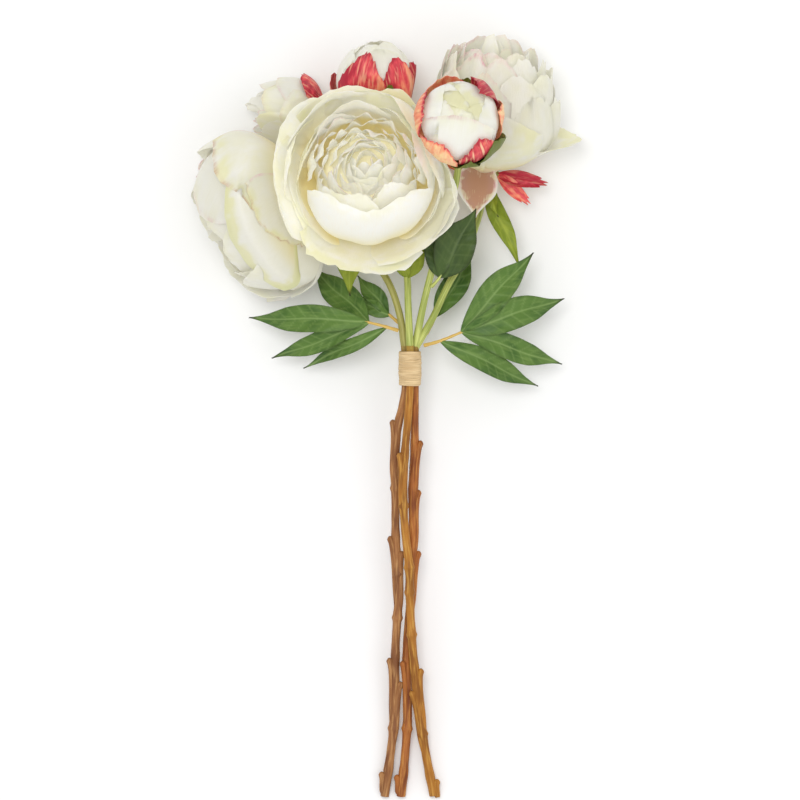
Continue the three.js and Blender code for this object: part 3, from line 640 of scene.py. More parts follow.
def add_petals(shape, head, layer, slot=0):
    for number, own in enumerate(layer["petals"]):
        form = whole_petal(layer, own, number)
        grid, across, reach = petal_grid(head, form)
        half_width = head["width"] * form.get("size", 1) * math.radians(form["span"])
        coord = np.stack([
            across * half_width,
            reach * (head["back"] + head["front"]) * PETAL_LENGTH_SHARE,
            np.full_like(reach, NEXT_PETAL_NOISE * number + form["turn"]),
        ], axis=2)
        along = reach / reach[-1:]
        rim = smooth(0.94, 1.0, np.maximum(along, 0.98 * np.abs(across)))
        if slot == 0:
            values = cream_values(form, head, across, along, rim)
        else:
            values = guard_values(form, across, rim)
        # shade is gold low on a petal and pale towards its tip; the gold is partly painted shade, and
        # deep adds more painted shade to petals in a hollow.
        shade = smooth(form["pale_from"], form["pale_to"], reach) - form["deep"]
        add_blade(shape, grid, form["thickness"], slot, coord, shade=shade, **values)


def add_heart(shape, head):
    """The closed heart that the inner petals stand on."""
    side, up, axis = head_axes(head)
    sides = 32
    angles = np.linspace(0, 2 * np.pi, sides, endpoint=False)
    spokes = np.cos(angles)[:, None] * side + np.sin(angles)[:, None] * up
    rings = []
    for radius, height in HEART_OUTLINE:
        reach = head["back"] if height < 0 else head["front"]
        middle = vector(head["centre"]) + axis * height * reach
        rings.append(middle + spokes * radius * head["width"])
    points = press(np.concatenate(rings), head, HEART_INSET)
    top = (len(HEART_OUTLINE) - 1) * sides
    foot = list(range(sides))[::-1]
    faces = [foot, *ring_faces(len(HEART_OUTLINE), sides), list(range(top, top + sides))]
    shape.add(points, faces, shade=0.45, green=0.2)


# Kinds of layer. start is where petals leave the shell's foot and top how high the shell is. dive
# draws their roots in, taper narrows them, and pale_from to pale_to is where gold turns pale: the gold
# is partly the petals' own yellow foot and partly painted shade in the hollows, and deep darkens a
# petal further into that painted shade. Guard petals and sepals lie outside the shell, on the disc
# that carries the head.

PLAIN = dict(
    rows=28, cols=24, start=9, top=1, round=0.12, notch=0, ruffle=0, tuck=1.5, flare=0, curl=0,
    dive=0, taper=0.7, fringe=0.007, frill=0.4, frills=15, pleat=0.25, dimple=0.7, cup=0, inset=0,
    skew=0, thickness=PETAL_THICKNESS, pale_from=0.1, pale_to=0.62, deep=0, blush=0, green=0.15,
    rim_green=0.4, side_green=0,
)
BIG = dict(PLAIN, ruffle=1, notch=0.02)
SNUG = dict(BIG, ruffle=0.2, tuck=0.4, notch=0, taper=0.1, dimple=0.4, frill=0.25)
SECOND = dict(PLAIN, start=48, dive=0.4, ruffle=1, pale_from=0, pale_to=0.7)
THIRD = dict(PLAIN, start=62, dive=0.34, ruffle=1, pale_to=0.75)
GUARD = dict(
    PLAIN, outside=3, root=SEAT_GAP + CALYX_THICKNESS / 2, inset=2.5, tuck=0.75, round=0.22,
    fringe=0.022, frill=0.5, thickness=GUARD_THICKNESS, ruffle=0.8, notch=0.03, dimple=0.3,
    taper=0.4, tone=0.5, lean=0.12, rim_tone=-0.2, blush=0.6,
)
SEPAL = dict(
    GUARD, outside=5.4, root=2 * SEAT_GAP + CALYX_THICKNESS + 1, round=0.5, inset=1.0,
    pale_from=2, pale_to=3,
)
CORE = dict(
    PLAIN, rows=18, cols=14, start=92, dive=0.15, ruffle=1.7, notch=0.09, round=0.2, fringe=0.022,
    frill=0.6, frills=7, pleat=0.35, pale_to=0.7, top=0.9, taper=-0.4, dimple=0.6,
)
SPIRAL = dict(seed=7, end=122, closed=46, uneven=6, twist=3, cupped=3, rolled=7, rosy=1, low_front=0)


def core_petals(width, **own):
    """Narrow ruffled petals set round in a spiral from the middle of a head outwards."""
    core = {**SPIRAL, **own}
    draw = random.Random(core["seed"])
    low, high = core["reach"]
    petals = []
    for i in range(core["count"]):
        out = ((i + 0.5) / core["count"]) ** 0.5
        turn = GOLDEN_TURN * i
        size = mix(low, high, out) + draw.uniform(-0.02, 0.02)
        size *= 1 - core["low_front"] * max(0, -math.sin(math.radians(turn)))
        half = draw.uniform(*core["half"])
        span = math.degrees(math.asin(min(0.95, half / (width * size))))
        look = dict(
            size=size,
            tuck=draw.uniform(-1, 1) * core["twist"],
            cup=draw.uniform(-0.6, 1) * core["cupped"],
            curl=draw.uniform(0.15, 1) * core["rolled"],
            phase=draw.uniform(0, 2 * math.pi),
            waves=draw.uniform(3.5, 6.5),
            blush=draw.choice((0, 0, 0, 0.3, 0.8)) * core["rosy"],
            green=draw.uniform(0, 0.35),
        )
        end = core["end"] + core["closed"] * (1 - out) + draw.uniform(-1, 1) * core["uneven"]
        petals.append(petal(turn, end, span, draw.uniform(-2, 2), **look))
    return petals


# A blade is a bract, a hanging petal or a leaflet. It runs from its base to its tip.

def blade(base, tip, width, arch, **look):
    return dict(base=base, tip=tip, width=width, arch=arch, **look)


main_head = dict(
    node="bloom_main",
    centre=[-29, 126, 88], axis=[0, 0.28, 0.96], side=[1, 0, 0], dull=0,
    width=64, back=48, front=60,
    walls=[
        ([-0.75, -0.15, -0.64], 46),
        ([0.803, 0.351, -0.482], 54),
        ([0.781, 0.448, 0.435], 51),
        ([0.05, 0.75, -0.66], 51),
    ],
    layers=[
        dict(BIG, size=0.98, curl=2, fringe=0.012, petals=[
            petal(262, 93, 46, 15, green=0.5, size=0.78, fringe=0.034, ruffle=2.2, pleat=0.6,
                  rim_green=0.8, dull=0.5),
            petal(318, 98, 40, 11, green=0.5, size=0.82, dull=0.4),
            petal(352, 102, 34, 3, green=0.4, size=0.94, dull=0.4),
            petal(28, 108, 30, green=0.7, size=0.95, dull=0.5),
            # These two top petals lie in the bowl's shade: their strong green, deep and dull are
            # painted shade.
            petal(66, 104, 34, 2, green=1.5, ruffle=1.8, dull=0.7, deep=0.3),
            petal(104, 106, 34, green=0.9, ruffle=1.6, dull=0.4, deep=0.3),
            petal(146, 102, 34, green=0.4, curl=4),
            petal(186, 106, 34, blush=0.2, green=0.4),
            petal(216, 98, 40, 7, blush=0.15, green=0.5, size=0.84, skew=-0.42),
        ]),
        dict(SECOND, size=0.88, petals=[
            petal(226, 112, 38, 2, size=0.75, green=0.3, skew=-0.78, dive=0.1),
            petal(322, 114, 38, 2, size=0.75, skew=0.78, dive=0.1),
            petal(352, 122, 32, 2, size=0.8, curl=3, skew=0.45),
            petal(18, 118, 32, green=0.4, size=0.84),
            petal(50, 124, 30, green=0.6, curl=3, deep=0.25),
            petal(86, 118, 34, green=0.6, curl=3, deep=0.25),
            petal(126, 134, 36, green=0.4, curl=9, ruffle=1.6),
            petal(164, 116, 32, green=0.4, deep=0.25),
            petal(196, 114, 36, 2, green=0.3, size=0.82, skew=-0.65),
        ]),
        dict(THIRD, size=0.74, petals=[
            petal(271, 138, 68, size=0.7, taper=0, round=0, notch=0.095, dimple=0.7, phase=3.0,
                  waves=4.4, ruffle=1, fringe=0.026, pleat=0.85),
            petal(250, 139, 42, size=0.61, green=0.3, dimple=0.15, notch=0.05, fringe=0.018),
            petal(300, 138, 40, size=0.56, green=0.3, dimple=0.15, notch=0.05, fringe=0.018),
            petal(350, 130, 36, size=0.72, dimple=0.2, skew=0.86),
            petal(104, 131, 38, size=0.71, curl=6, ruffle=2, green=0.3),
            petal(136, 128, 34, size=0.67, curl=5, ruffle=1.8),
            petal(14, 126, 30, curl=3),
            petal(192, 122, 36, 2, size=0.72, green=0.3, skew=-0.7, deep=0.45),
            petal(155, 118, 32, green=0.5, deep=0.45),
            petal(60, 122, 30, green=0.5),
        ]),
        # The core's gold reaches far up its petals: painted shade in the gaps between them.
        dict(CORE, top=0.8, pale_from=0.22, pale_to=0.86, round=0.12, petals=core_petals(
            64, count=58, reach=(0.06, 0.67), low_front=0.22, half=(9, 14), twist=1.8, cupped=1.5,
            rolled=3,
        )),
    ],
)

left_head = dict(
    node="bloom_left",
    centre=[-98, 102, 45.6], axis=[-0.86, -0.48, 0.14], side=[0, 0, 1], dull=0.95,
    width=60, back=38, front=44,
    walls=[([0.75, 0.15, 0.64], 32), ([0, 0, -1], 50), ([0.2, 0.85, -0.48], 50)],
    layers=[
        dict(BIG, size=1, petals=[
            petal(40, 114, 37, blush=0.9, green=0.4, curl=2, notch=0.03, rim_green=1.3),
            petal(344, 103, 34, blush=0.9, green=0.2, fringe=0.03, size=1.03, ruffle=1.6, skew=0.5,
                  rim_green=1.3, curl=3, notch=0.04),
            petal(104, 111, 38, 3, ruffle=1.6),
            petal(150, 114, 38, 8, ruffle=2.4, notch=0.04, blush=1, fringe=0.025),
            petal(198, 118, 38, 11, ruffle=2.6, notch=0.06, blush=0.4, fringe=0.028),
            petal(244, 110, 36, 3, ruffle=2, notch=0.06, fringe=0.028, green=0, size=0.9),
            petal(288, 112, 36, ruffle=1, size=0.92, notch=0.05),
        ]),
        dict(SECOND, size=0.9, taper=0.3, petals=[
            # Its strong green rim and side are painted shade: the yellow-green crescent along the
            # lower edge of the ball.
            petal(340, 142, 50, green=0.1, round=0.2, size=0.975, taper=0.1, dimple=0.2, curl=-4,
                  rim_green=3, side_green=4),
            petal(50, 150, 52, blush=0.5, notch=0.03, size=0.91),
            petal(112, 140, 44, 2),
            petal(165, 136, 42, 4, ruffle=1.8),
            petal(222, 140, 44, 4, ruffle=1.8),
            petal(280, 142, 42, 2),
        ]),
        dict(THIRD, size=0.78, taper=0.3, petals=[
            petal(20, 152, 44), petal(85, 146, 40), petal(145, 142, 40),
            petal(205, 144, 40), petal(265, 148, 40), petal(322, 152, 40),
        ]),
        dict(CORE, top=0.74, petals=core_petals(
            60, seed=83, count=14, reach=(0.1, 0.64), end=132, half=(11, 15),
        )),
    ],
)

right_head = dict(
    node="bloom_right", calyx="calyx_bloom_right",
    centre=[53, 167, 37.3], axis=[0.05, 0.93, 0.35], side=[0, 0, 1], dull=1.0,
    width=46, back=38, front=62,
    walls=[
        ([-0.803, -0.351, 0.482], 37),
        ([0, 0, -1], 42),
        ([0.15, -0.1, 0.98], 44),
        ([-1, 0.2, 0], 44),
    ],
    layers=[
        dict(BIG, size=1, inset=1, petals=[
            petal(10, 103, 40, green=0.7),
            petal(48, 114, 30, green=0.2, size=0.97, fringe=0.02, ruffle=1.6),
            petal(92, 78, 36, 13, green=0.4, curl=4, ruffle=1.8, rim_green=1.6),
            petal(84, 106, 34, 1, size=0.985, ruffle=2, fringe=0.03, notch=0.05),
            petal(132, 112, 38, 3), petal(178, 114, 40, 3), petal(228, 114, 40, 3),
            petal(275, 112, 36, 2, ruffle=1.6),
            petal(322, 109, 34, size=0.98),
        ]),
        dict(SECOND, size=0.92, inset=1.5, taper=0.35, curl=2, ruffle=1.8, fringe=0.014,
             notch=0.04, petals=[
            petal(28, 127, 32, size=0.94),
            petal(66, 124, 34, 2, ruffle=2),
            petal(350, 129, 30, blush=0.5, size=0.93),
            petal(308, 128, 34, blush=0.3, size=0.95),
            petal(108, 122, 36, 3, ruffle=2),
            petal(165, 126, 38, 3),
            petal(215, 130, 38, 3, blush=0.3),
            petal(266, 130, 34, 2, blush=0.8),
        ]),
        dict(THIRD, size=0.82, inset=2, taper=0.25, curl=3, ruffle=2, fringe=0.014,
             notch=0.05, petals=[
            petal(8, 138, 34, blush=0.6, size=0.85),
            petal(46, 136, 34, 1, fringe=0.022, ruffle=2.4),
            petal(88, 130, 34, 4, ruffle=2.6, fringe=0.03),
            petal(136, 134, 36, 2, blush=0.4),
            petal(195, 138, 38, 2, blush=0.7),
            petal(240, 140, 36, 1, blush=1.2),
            petal(285, 139, 34, size=0.86),
            petal(328, 141, 34, blush=1.4, size=0.83),
        ]),
        dict(THIRD, size=0.68, inset=3, taper=0.2, curl=3, ruffle=1.8, petals=[
            petal(350, 146, 36, blush=1.0),
            petal(38, 143, 36, 1, blush=0.4),
            petal(88, 140, 38, 1),
            petal(150, 142, 40, 1, blush=0.6),
            petal(215, 146, 40, 1, blush=0.8),
            petal(275, 146, 38, 1, blush=1.0),
            petal(318, 148, 34, blush=0.9),
        ]),
        dict(CORE, petals=core_petals(
            46, seed=113, count=12, reach=(0.1, 0.56), end=130, half=(10, 14), rosy=1.3,
        )),
    ],
    guards=dict(GUARD, outside=5, inset=-2, flare=7, petals=[petal(250, 50, 16, tone=0.5)]),
    bracts=[
        blade([58.7, 129.6, 24], [91, 123.5, 28], 11, 1.5, tone=0.02, blush=0.25),
        blade([58.9, 129.9, 24.1], [79.5, 110.5, 26.5], 10, 1.5, tone=0.36, blush=0.3),
    ],
    hanging=[blade([46, 134, 30], [43, 100, 50], 27, 3)],
)

back_left_head = dict(
    node="bloom_back_left", calyx="calyx_back_left",
    centre=[-80, 170, 22.5], axis=[-1, 0.12, 0.05], side=[0, 0, 1], dull=0.95,
    width=25, back=22, front=35,
    walls=[([-0.2, -0.85, 0.48], 19.5), ([0, 0, -1], 29), ([0.55, -0.25, 0.8], 24)],
    layers=[
        dict(SNUG, size=1, inset=3.2, taper=0.5, petals=[
            petal(350, 104, 50, green=0.5, blush=0.3),
            petal(60, 112, 46, blush=0.4),
            petal(130, 116, 46),
            petal(200, 122, 46, blush=0.5),
            petal(290, 124, 46, green=0.5),
        ]),
        dict(SECOND, size=0.88, inset=2.5, taper=0.4, ruffle=1.6, petals=[
            petal(20, 128, 44, blush=0.5, green=0.4),
            petal(80, 132, 42, blush=0.9),
            petal(150, 134, 42),
            petal(240, 136, 42, blush=0.6),
            petal(315, 134, 42, green=0.6),
        ]),
        dict(CORE, top=0.92, petals=core_petals(
            25, seed=151, count=10, reach=(0.15, 0.68), end=130, half=(7, 9), twist=2, cupped=1.5,
            rolled=2, rosy=1.2,
        )),
    ],
    guards=dict(GUARD, outside=3.5, inset=0.3, petals=[
        petal(68, 81, 35, tone=0.3, lean=0.25, blush=0.5),
        petal(240, 58, 24, tone=0.6),
        petal(330, 62, 24, tone=0.5),
    ]),
)

top_bud = dict(
    node="bud_top", calyx="calyx_bud_top",
    centre=[-23, 191, 42], axis=[0.03, 0.95, 0.3], side=[0, 0, 1], dull=0.7,
    width=26.5, back=24, front=28,
    walls=[([-0.05, -0.75, 0.66], 24), ([1, -0.2, 0], 30)],
    layers=[
        dict(SNUG, size=1, inset=5, petals=[
            petal(10, 156, 66),
            petal(100, 141, 58, size=0.965),
            petal(190, 141, 60, size=0.94),
            petal(275, 144, 60, size=0.975),
        ]),
        dict(SECOND, size=0.86, inset=6, taper=0.1, petals=[
            petal(50, 168, 60), petal(140, 162, 60), petal(230, 166, 60), petal(320, 168, 60),
        ]),
    ],
    guards=dict(GUARD, petals=[
        petal(338, 141, 36, tone=0.2, blush=0.5, lean=0.3, ruffle=1.4, notch=0.03, round=0.3,
              fringe=0.03),
        petal(37, 132, 29, tone=0.34, blush=0.7, lean=0.36, ruffle=1.2),
        petal(72, 122, 24, tone=0.1, blush=0.4),
        petal(130, 98, 34, tone=0.3),
        petal(255, 98, 34, tone=0.2),
    ]),
    sepals=dict(SEPAL, petals=[petal(18, 96, 14), petal(290, 78, 13), petal(150, 70, 16)]),
)

round_bud = dict(
    node="bud_round", calyx="calyx_bud_round",
    centre=[32, 162, 122], axis=[0.05, 0.3, 0.95], side=[1, 0, 0], dull=0.35,
    width=26.5, back=26, front=25,
    walls=[([-0.781, -0.448, -0.435], 27.5)],
    layers=[
        dict(SNUG, inset=5.5, dimple=0.2, petals=[
            petal(262, 168, 72, blush=0.7, size=1),
            petal(345, 150, 58, size=0.975),
            petal(84, 152, 60, size=0.955),
            petal(172, 152, 58, size=0.985),
        ]),
        dict(SECOND, inset=6, taper=0.1, ruffle=0.6, dimple=0.2, petals=[
            petal(42, 168, 62, green=1.2, size=0.93, round=0.2, dull=0.8),
            petal(205, 166, 62, blush=0.3, size=0.9),
            petal(310, 172, 60, green=0.9, size=0.87, dull=1),
            petal(70, 184, 60, green=1.4, size=0.84, round=0.06, dull=1),
            petal(250, 182, 70, green=0.6, size=0.79, round=0.06),
        ]),
    ],
    guards=dict(GUARD, petals=[
        petal(172, 130, 34, tone=0.6, blush=0.8, rim_tone=-0.5),
        petal(236, 122, 32, tone=0.8, blush=0.8, rim_tone=-0.5),
        petal(300, 127, 30, tone=0.3, blush=1),
        petal(5, 118, 24, tone=0.85, blush=0.3),
        petal(48, 144, 27, tone=0.1, blush=0.35),
        petal(112, 106, 30, tone=0.7),
    ]),
    sepals=dict(SEPAL, petals=[petal(320, 110, 33), petal(80, 80, 20), petal(282, 96, 20)]),
)


# Bracts, the hanging petal and leaflets

def blade_sheet(form, half, across, reach, rise, sway=0.0, seed=0.0):
    """The points of a blade, and where its material takes them to be."""
    base = vector(form["base"])
    run = vector(form["tip"]) - base
    sideways = unit(np.cross(run, [0, 0, 1]))
    up = unit(np.cross(sideways, run))
    width, reach = np.broadcast_arrays(half * across, reach)
    grid = base + run * reach[..., None] + sideways * (width + sway)[..., None] + up * rise[..., None]
    coord = np.stack([width, reach * np.linalg.norm(run), np.full(width.shape, seed)], axis=2)
    return grid, coord


def add_bract(shape, form):
    """A coloured bract with a jagged tip that stands out from under a head."""
    t, across = steps(26, 16)
    half = form["width"] * 0.5 * (0.14 + 0.86 * np.sin(np.pi * np.clip(t * 0.8 + 0.02, 0, 1)) ** 0.8)
    reach = t * (1 - 0.22 * across**2 + 0.06 * np.sin(11 * across + form["width"]))
    rise = form["arch"] * np.sin(np.pi * t) + 0.28 * half * across**2 + 0.5 * t * np.sin(8 * across)
    grid, coord = blade_sheet(form, half, across, reach, rise, seed=9)
    add_blade(shape, grid, GUARD_THICKNESS, 1, coord, tone=form["tone"], blush=form["blush"])


def add_hanging_petal(shape, form):
    """A petal that hangs back from a head, with a brown-rose hollow towards the camera: partly the
    petal's colour, partly painted shade.
    """
    t, across = steps(30, 24)
    half = form["width"] * 0.5 * (0.35 + 0.65 * np.sin(np.pi * np.minimum(t * 0.9 + 0.12, 1)) ** 0.6)
    half = half * (1 - smooth(0.55, 1.05, t) * 0.8)
    rise = 5.5 * (across**2 - 0.4) * np.sin(np.pi * (0.15 + 0.8 * t))
    rise = rise + form["arch"] * np.sin(np.pi * t)
    rise = rise + 0.6 * np.sin(11 * t + 3 * across) * np.abs(across) ** 3
    grid, coord = blade_sheet(form, half, across, t, rise, seed=5)
    # The brown-rose inside, away from the rims, is partly painted shade in the petal's hollow.
    outer = smooth(0.4, 1.08, np.hypot(across, t**2))
    add_blade(shape, grid, PETAL_THICKNESS, 0, coord, shade=0.5 + outer, blush=6 * (1 - outer),
              green=np.minimum(1, 3 - 3 * outer), tone=0.5)


def add_leaflet(shape, leaf, slot=0):
    """A pointed leaflet, folded along its rib, with a wavy edge and side veins."""
    t, across = steps(72, 20)
    swell = np.sin(np.pi * t**0.8) ** 0.95 * (1 - 0.42 * smooth(0.6, 0.95, t))
    half = np.maximum(leaf["width"] * 0.52 * swell, 0.35)
    fold = np.abs(across) * half * 0.28
    wave = np.sin(t * 11 + across * 2 + leaf["width"]) * 0.9 * np.abs(across)
    ripple = 0.3 * np.sin(t * 46 - np.abs(across) * 7) * np.abs(across) * np.sin(np.pi * t)
    rise = leaf["arch"] * np.sin(np.pi * t) + fold + wave + ripple
    sway = 0.9 * np.sin(t * 7 + leaf["width"]) * np.sin(np.pi * t)
    grid, coord = blade_sheet(leaf, half, across, t, rise, sway, leaf["tip"][0] * 1.7)
    grid[..., 2] = np.maximum(grid[..., 2], LOWEST_LEAF)
    rib = np.exp(-((across * half / 0.55) ** 2))
    side_vein = np.maximum(np.sin(coord[..., 1] * 0.85 - np.abs(across) ** 0.8 * 5.8), 0) ** 7 * 0.5
    edge = np.maximum(smooth(0.88, 1.0, t), leaf.get("dark", 0.0) + 0.3 * across**8)
    shade = np.maximum(rib, side_vein * np.sin(np.pi * t))
    add_blade(shape, grid, LEAF_THICKNESS, slot, coord, shade=shade, blush=edge)


# What carries the heads

def seat_radius(head):
    return head["width"] * SEAT_SHARE


def receptacle_top(head):
    return SEAT_GAP * 2 + CALYX_THICKNESS if "guards" in head else SEAT_GAP


def below(head, depth):
    """A point on the head's axis, so far behind its back."""
    return vector(head["centre"]) - unit(head["axis"]) * (head["back"] + depth)


def add_disc(shape, head, radius, top, thickness, slot=0):
    """A round disc behind a head, so far behind its back and a little narrower below."""
    centre = below(head, top)
    depths = thickness * np.array([0, 0.5, 1])
    path = (centre - depths[:, None] * unit(head["axis"]), depths)

    def narrowing(s, angles):
        return radius * (1 - 0.1 * s / thickness)

    add_tube(shape, path, narrowing, 24, slot, shade=1.0, tone=0.5)


def build_head(head):
    shape = Shape()
    add_heart(shape, head)
    for layer in head["layers"]:
        add_petals(shape, head, layer)
    for form in head.get("hanging", []):
        add_hanging_petal(shape, form)
    shape.build(head["node"], [PETAL])


def build_calyx(head):
    shape = Shape()
    add_disc(shape, head, seat_radius(head) + CALYX_OVERHANG, SEAT_GAP, CALYX_THICKNESS)
    add_petals(shape, head, head["guards"], slot=1)
    for bract in head.get("bracts", []):
        add_bract(shape, bract)
    shape.build(head["calyx"], [GREEN_STEM, GUARD_PETAL])


# Leaves. Each has a stalk, seated on what carries it, and leaflets that cross its end.

LEAVES = dict(
    leaf_left=dict(
        stalk=[[-7.9, 25, 45.9], [-18, 28, 48], [-30, 31, 46]],
        leaflets=[
            blade([-27, 30.5, 46.5], [-66, 68, 4], 19, 2),
            blade([-28, 30.8, 46.5], [-108, 34, 16], 18, 12),
            blade([-27, 30.3, 46.5], [-92.7, 6.7, 14], 13.5, 10),
            blade([-15, 27, 47], [-71.4, 0, 14], 9.5, 8),
        ],
    ),
    leaf_right=dict(
        stalk=[[9.4, 15, 45.2], [20, 18, 48], [37, 25, 46]],
        leaflets=[
            blade([34, 24, 46.7], [82.7, 77.4, 26], 20, 10),
            blade([35, 24.3, 46.7], [103.4, 46.7, 22], 20, 12),
            blade([34, 24, 46.7], [102, 2.7, 16], 16, 12),
            blade([20, 18, 48], [86, -12, 14], 15, 10),
        ],
    ),
    leaf_centre=dict(
        stalk=[[14.2, 54, 51], [18, 58, 53], [22, 63, 54]],
        green_stalk=True,
        leaflets=[
            blade([20, 60, 53.5], [44, 106, 56], 26, 4, dark=0.58),
            blade([20, 60, 53.5], [16, 98, 52], 18, 3, dark=0.58),
        ],
    ),
    leaf_behind_right=dict(
        stalk=[[11.1, 23, 39.7], [15, 30, 35], [19, 38, 31]],
        leaflets=[blade([17, 34, 33], [43, 80, 14], 17, 3)],
    ),
    leaf_behind_left=dict(
        stalk=[[-7.3, 30, 42.4], [-12, 34, 38], [-16, 38, 35]],
        leaflets=[
            blade([-14, 36, 36.5], [-35, 62, 24], 12, 3),
            blade([-13, 35, 37], [-42, 47, 24], 11, 3),
        ],
    ),
)


def build_leaf(node, leaf):
    shape = Shape()
    for leaflet in leaf["leaflets"]:
        add_leaflet(shape, leaflet)
    path = smooth_path(leaf["stalk"], 40)
    length = path[1][-1]

    def radius(s, angles):
        return mix(1.25, 0.8, s / length) * (1 + 0.06 * np.sin(2 * angles + s))

    add_tube(shape, path, radius, 12, 1)
    stalk = GREEN_STEM if leaf.get("green_stalk") else STALK
    shape.build(node, [LEAF, stalk])


# Stems. Each path is a list of [x, y, height above the line of the bunch], which slopes from
# the tie down to the stems' cut ends. Its rings are the y of each low knob, and its stubs the y
# of each cut knob and which way it points in x and z. Each branch is its points, the head that it
# carries, and how brown it starts.

def stem_point(point):
    x, y, rise = point
    return vector([x, y, TIE_HEIGHT + SLOPE * min(y, TIE_LENGTH * 0.6) + rise])


def path_at(path, y):
    after = next((i for i, point in enumerate(path) if point[1] <= y), len(path) - 1)
    a, b = vector(path[after - 1]), vector(path[after])
    return stem_point(mix(a, b, (y - a[1]) / (b[1] - a[1])))


left_stem = dict(
    path=[
        [-3.4, 15, -1.5], [-2.9, 0, -1.5], [-3.1, -14, -1.5], [-5.4, -26, -1.4], [-8, -38, -1.2],
        [-9.7, -64.7, -1], [-9.7, -91.4, -1], [-9.3, -118.1, -1], [-8, -141.4, -0.8],
        [-8, -158.1, -0.6], [-9.7, -187.4, -0.4], [-10.3, -228.1, -0.2], [-11.3, -244.1, 0],
        [-17, -288.1, 0],
    ],
    rings=[-81, -139, -169, -244.5],
    stubs=[(-37, -1, 0.2), (-115, -1, 0.3), (-125, 0.9, 0.5), (-197, -1, 0.2), (-213, 0.9, 0.4),
           (-274, -1, 0.2)],
    branches=[
        ([[-3.3, 13, 45.4], [-6.9, 35.3, 45], [-12.7, 53.4, 43], [-21, 68, 39], [-40, 94, 34],
          [-52, 108, 38]], left_head, 0.6),
        ([[-20, 66, 39.5], [-30, 95, 24], [-39, 130, 20], [-47, 155, 24]], back_left_head, 0.2),
    ],
    blades=[blade([-43, 98, 34], [-40, 48, 42], 19, 4)],
)

middle_stem = dict(
    path=[
        [3.4, 15, -1.5], [2.9, 0, -1.5], [3.2, -14, -1.5], [3, -51.4, -1.6], [1.7, -81.4, -1.6],
        [2, -114.7, -1.6], [1.3, -138, -1.6], [0, -158, -1.4], [-1.7, -181.4, -1],
        [-2, -201.4, -0.8], [-1.3, -221.4, -0.4], [-2, -244.1, 0], [-6, -288.1, 0],
    ],
    rings=[-244],
    stubs=[(-51, 1, 0.2), (-84, 1, 0.1), (-125, 1, 0.1), (-199, -0.7, 0.7), (-276, -1, 0.2)],
    branches=[
        ([[3.3, 13, 45.4], [14.7, 32.7, 41], [24.7, 54, 36], [36.7, 76, 28], [47, 105, 20]],
         right_head, 0.0),
        ([[3.5, 14.5, 45.6], [9.5, 45, 48], [17, 74, 50], [27, 108, 52], [32, 135, 70]],
         round_bud, 0.0),
    ],
    blades=[
        blade([50, 125, 25], [74, 66, 30], 12, 5),
        blade([50, 124, 27], [59, 101, 36], 8, 2),
    ],
)

right_stem = dict(
    path=[
        [0, 15, 3.6], [0, 0, 3.55], [-0.2, -13, 3.6], [-1.7, -38, 5], [-3.7, -61.4, 5.4],
        [-4.3, -92, 5.6], [-2.7, -114.7, 5.6], [-0.7, -132.7, 5.7], [0, -154.7, 5.6],
        [1.3, -180.1, 5.4], [5.3, -221.4, 3.2], [9, -249.5, 1.2], [16, -287.5, 0],
    ],
    rings=[-92, -134, -151, -180, -249],
    stubs=[(-59, -1, 0.6), (-204, 1, 0.3), (-219, -1, 0.5), (-279, 1, 0.2)],
    branches=[
        ([[0, 13, 50.4], [-1.3, 41, 49], [-3, 67, 41], [-14, 92, 31], [-25, 106, 30]], main_head, 0.0),
        ([[-12, 89, 32.5], [-15, 112, 22], [-20, 138, 22], [-23.5, 152, 28]], top_bud, 0.0),
    ],
    blades=[
        blade([-1.5, 60, 45], [-14, 88, 49], 12, 3),
        blade([-1.5, 60, 45], [10, 90, 46], 13, 3),
    ],
)


def stem_radius(stem, length, seed):
    """The radius along a stem: a slow taper, a swelling at each knob, and long low ridges."""
    knobs = stem["rings"] + [stub[0] for stub in stem["stubs"]]

    def radius(distance, angles):
        base = np.interp(distance / length * (len(STEM_TOPS) - 1), range(len(STEM_TOPS)), STEM_TOPS)
        y = STEM_START - distance
        swell = sum(0.13 * bell(y - knob, 5) for knob in knobs)
        rings = sum(0.24 * bell(y - ring + 1, 1.5) for ring in stem["rings"])
        ridge = 0.03 * np.sin(3 * angles + distance * 0.05 + seed)
        ridge = ridge + 0.02 * np.sin(5 * angles - distance * 0.11 + seed * 2)
        lumps = 0.025 * math.sin(distance * 0.31 + seed) * math.sin(distance * 0.17 + seed * 3)
        return base * (1 + swell + rings + ridge + lumps)

    return radius


def add_stub(shape, stem, y, x, z):
    """The cut top of a second stem that has grown together with this one below it."""
    side = unit([x, 0, z])
    end = max(y - STUB_LENGTH, stem["path"][-1][1] + 2)
    places = [(y + 2.5, 4.4), (y - 2, 3.2), (y - 9, 2.5), (mix(y - 9, end, 0.5), 2.1), (end, 0.6)]
    path = smooth_path([path_at(stem["path"], place) + side * out for place, out in places], 90)
    length = path[1][-1]

    def radius(s, angles):
        dome = math.sqrt(min(0.12 + s / 1.8, 1))
        swell = 0.16 * bell(s - 2, 2)
        return mix(1.9, 1.7, s / length) * dome * (1 + swell + 0.05 * np.sin(2 * angles + s * 0.2))

    add_tube(shape, path, radius, 18, 0, y)


def add_branch(shape, points, head, brown, seed):
    """A green branch from its stem to the receptacle of a head."""
    seat = below(head, receptacle_top(head) + RECEPTACLE_THICKNESS * BRANCH_SINK)
    path = smooth_path([*points, seat], 150)

    def radius(s, angles):
        return mix(2.6, BRANCH_RADIUS, min(s / 30, 1)) * (1 + 0.03 * np.sin(3 * angles + s * 0.07))

    tone = brown * (1 - 0.5 * path[1] / path[1][-1])
    add_tube(shape, path, radius, 18, 1, seed, shade=1.0, tone=tone)


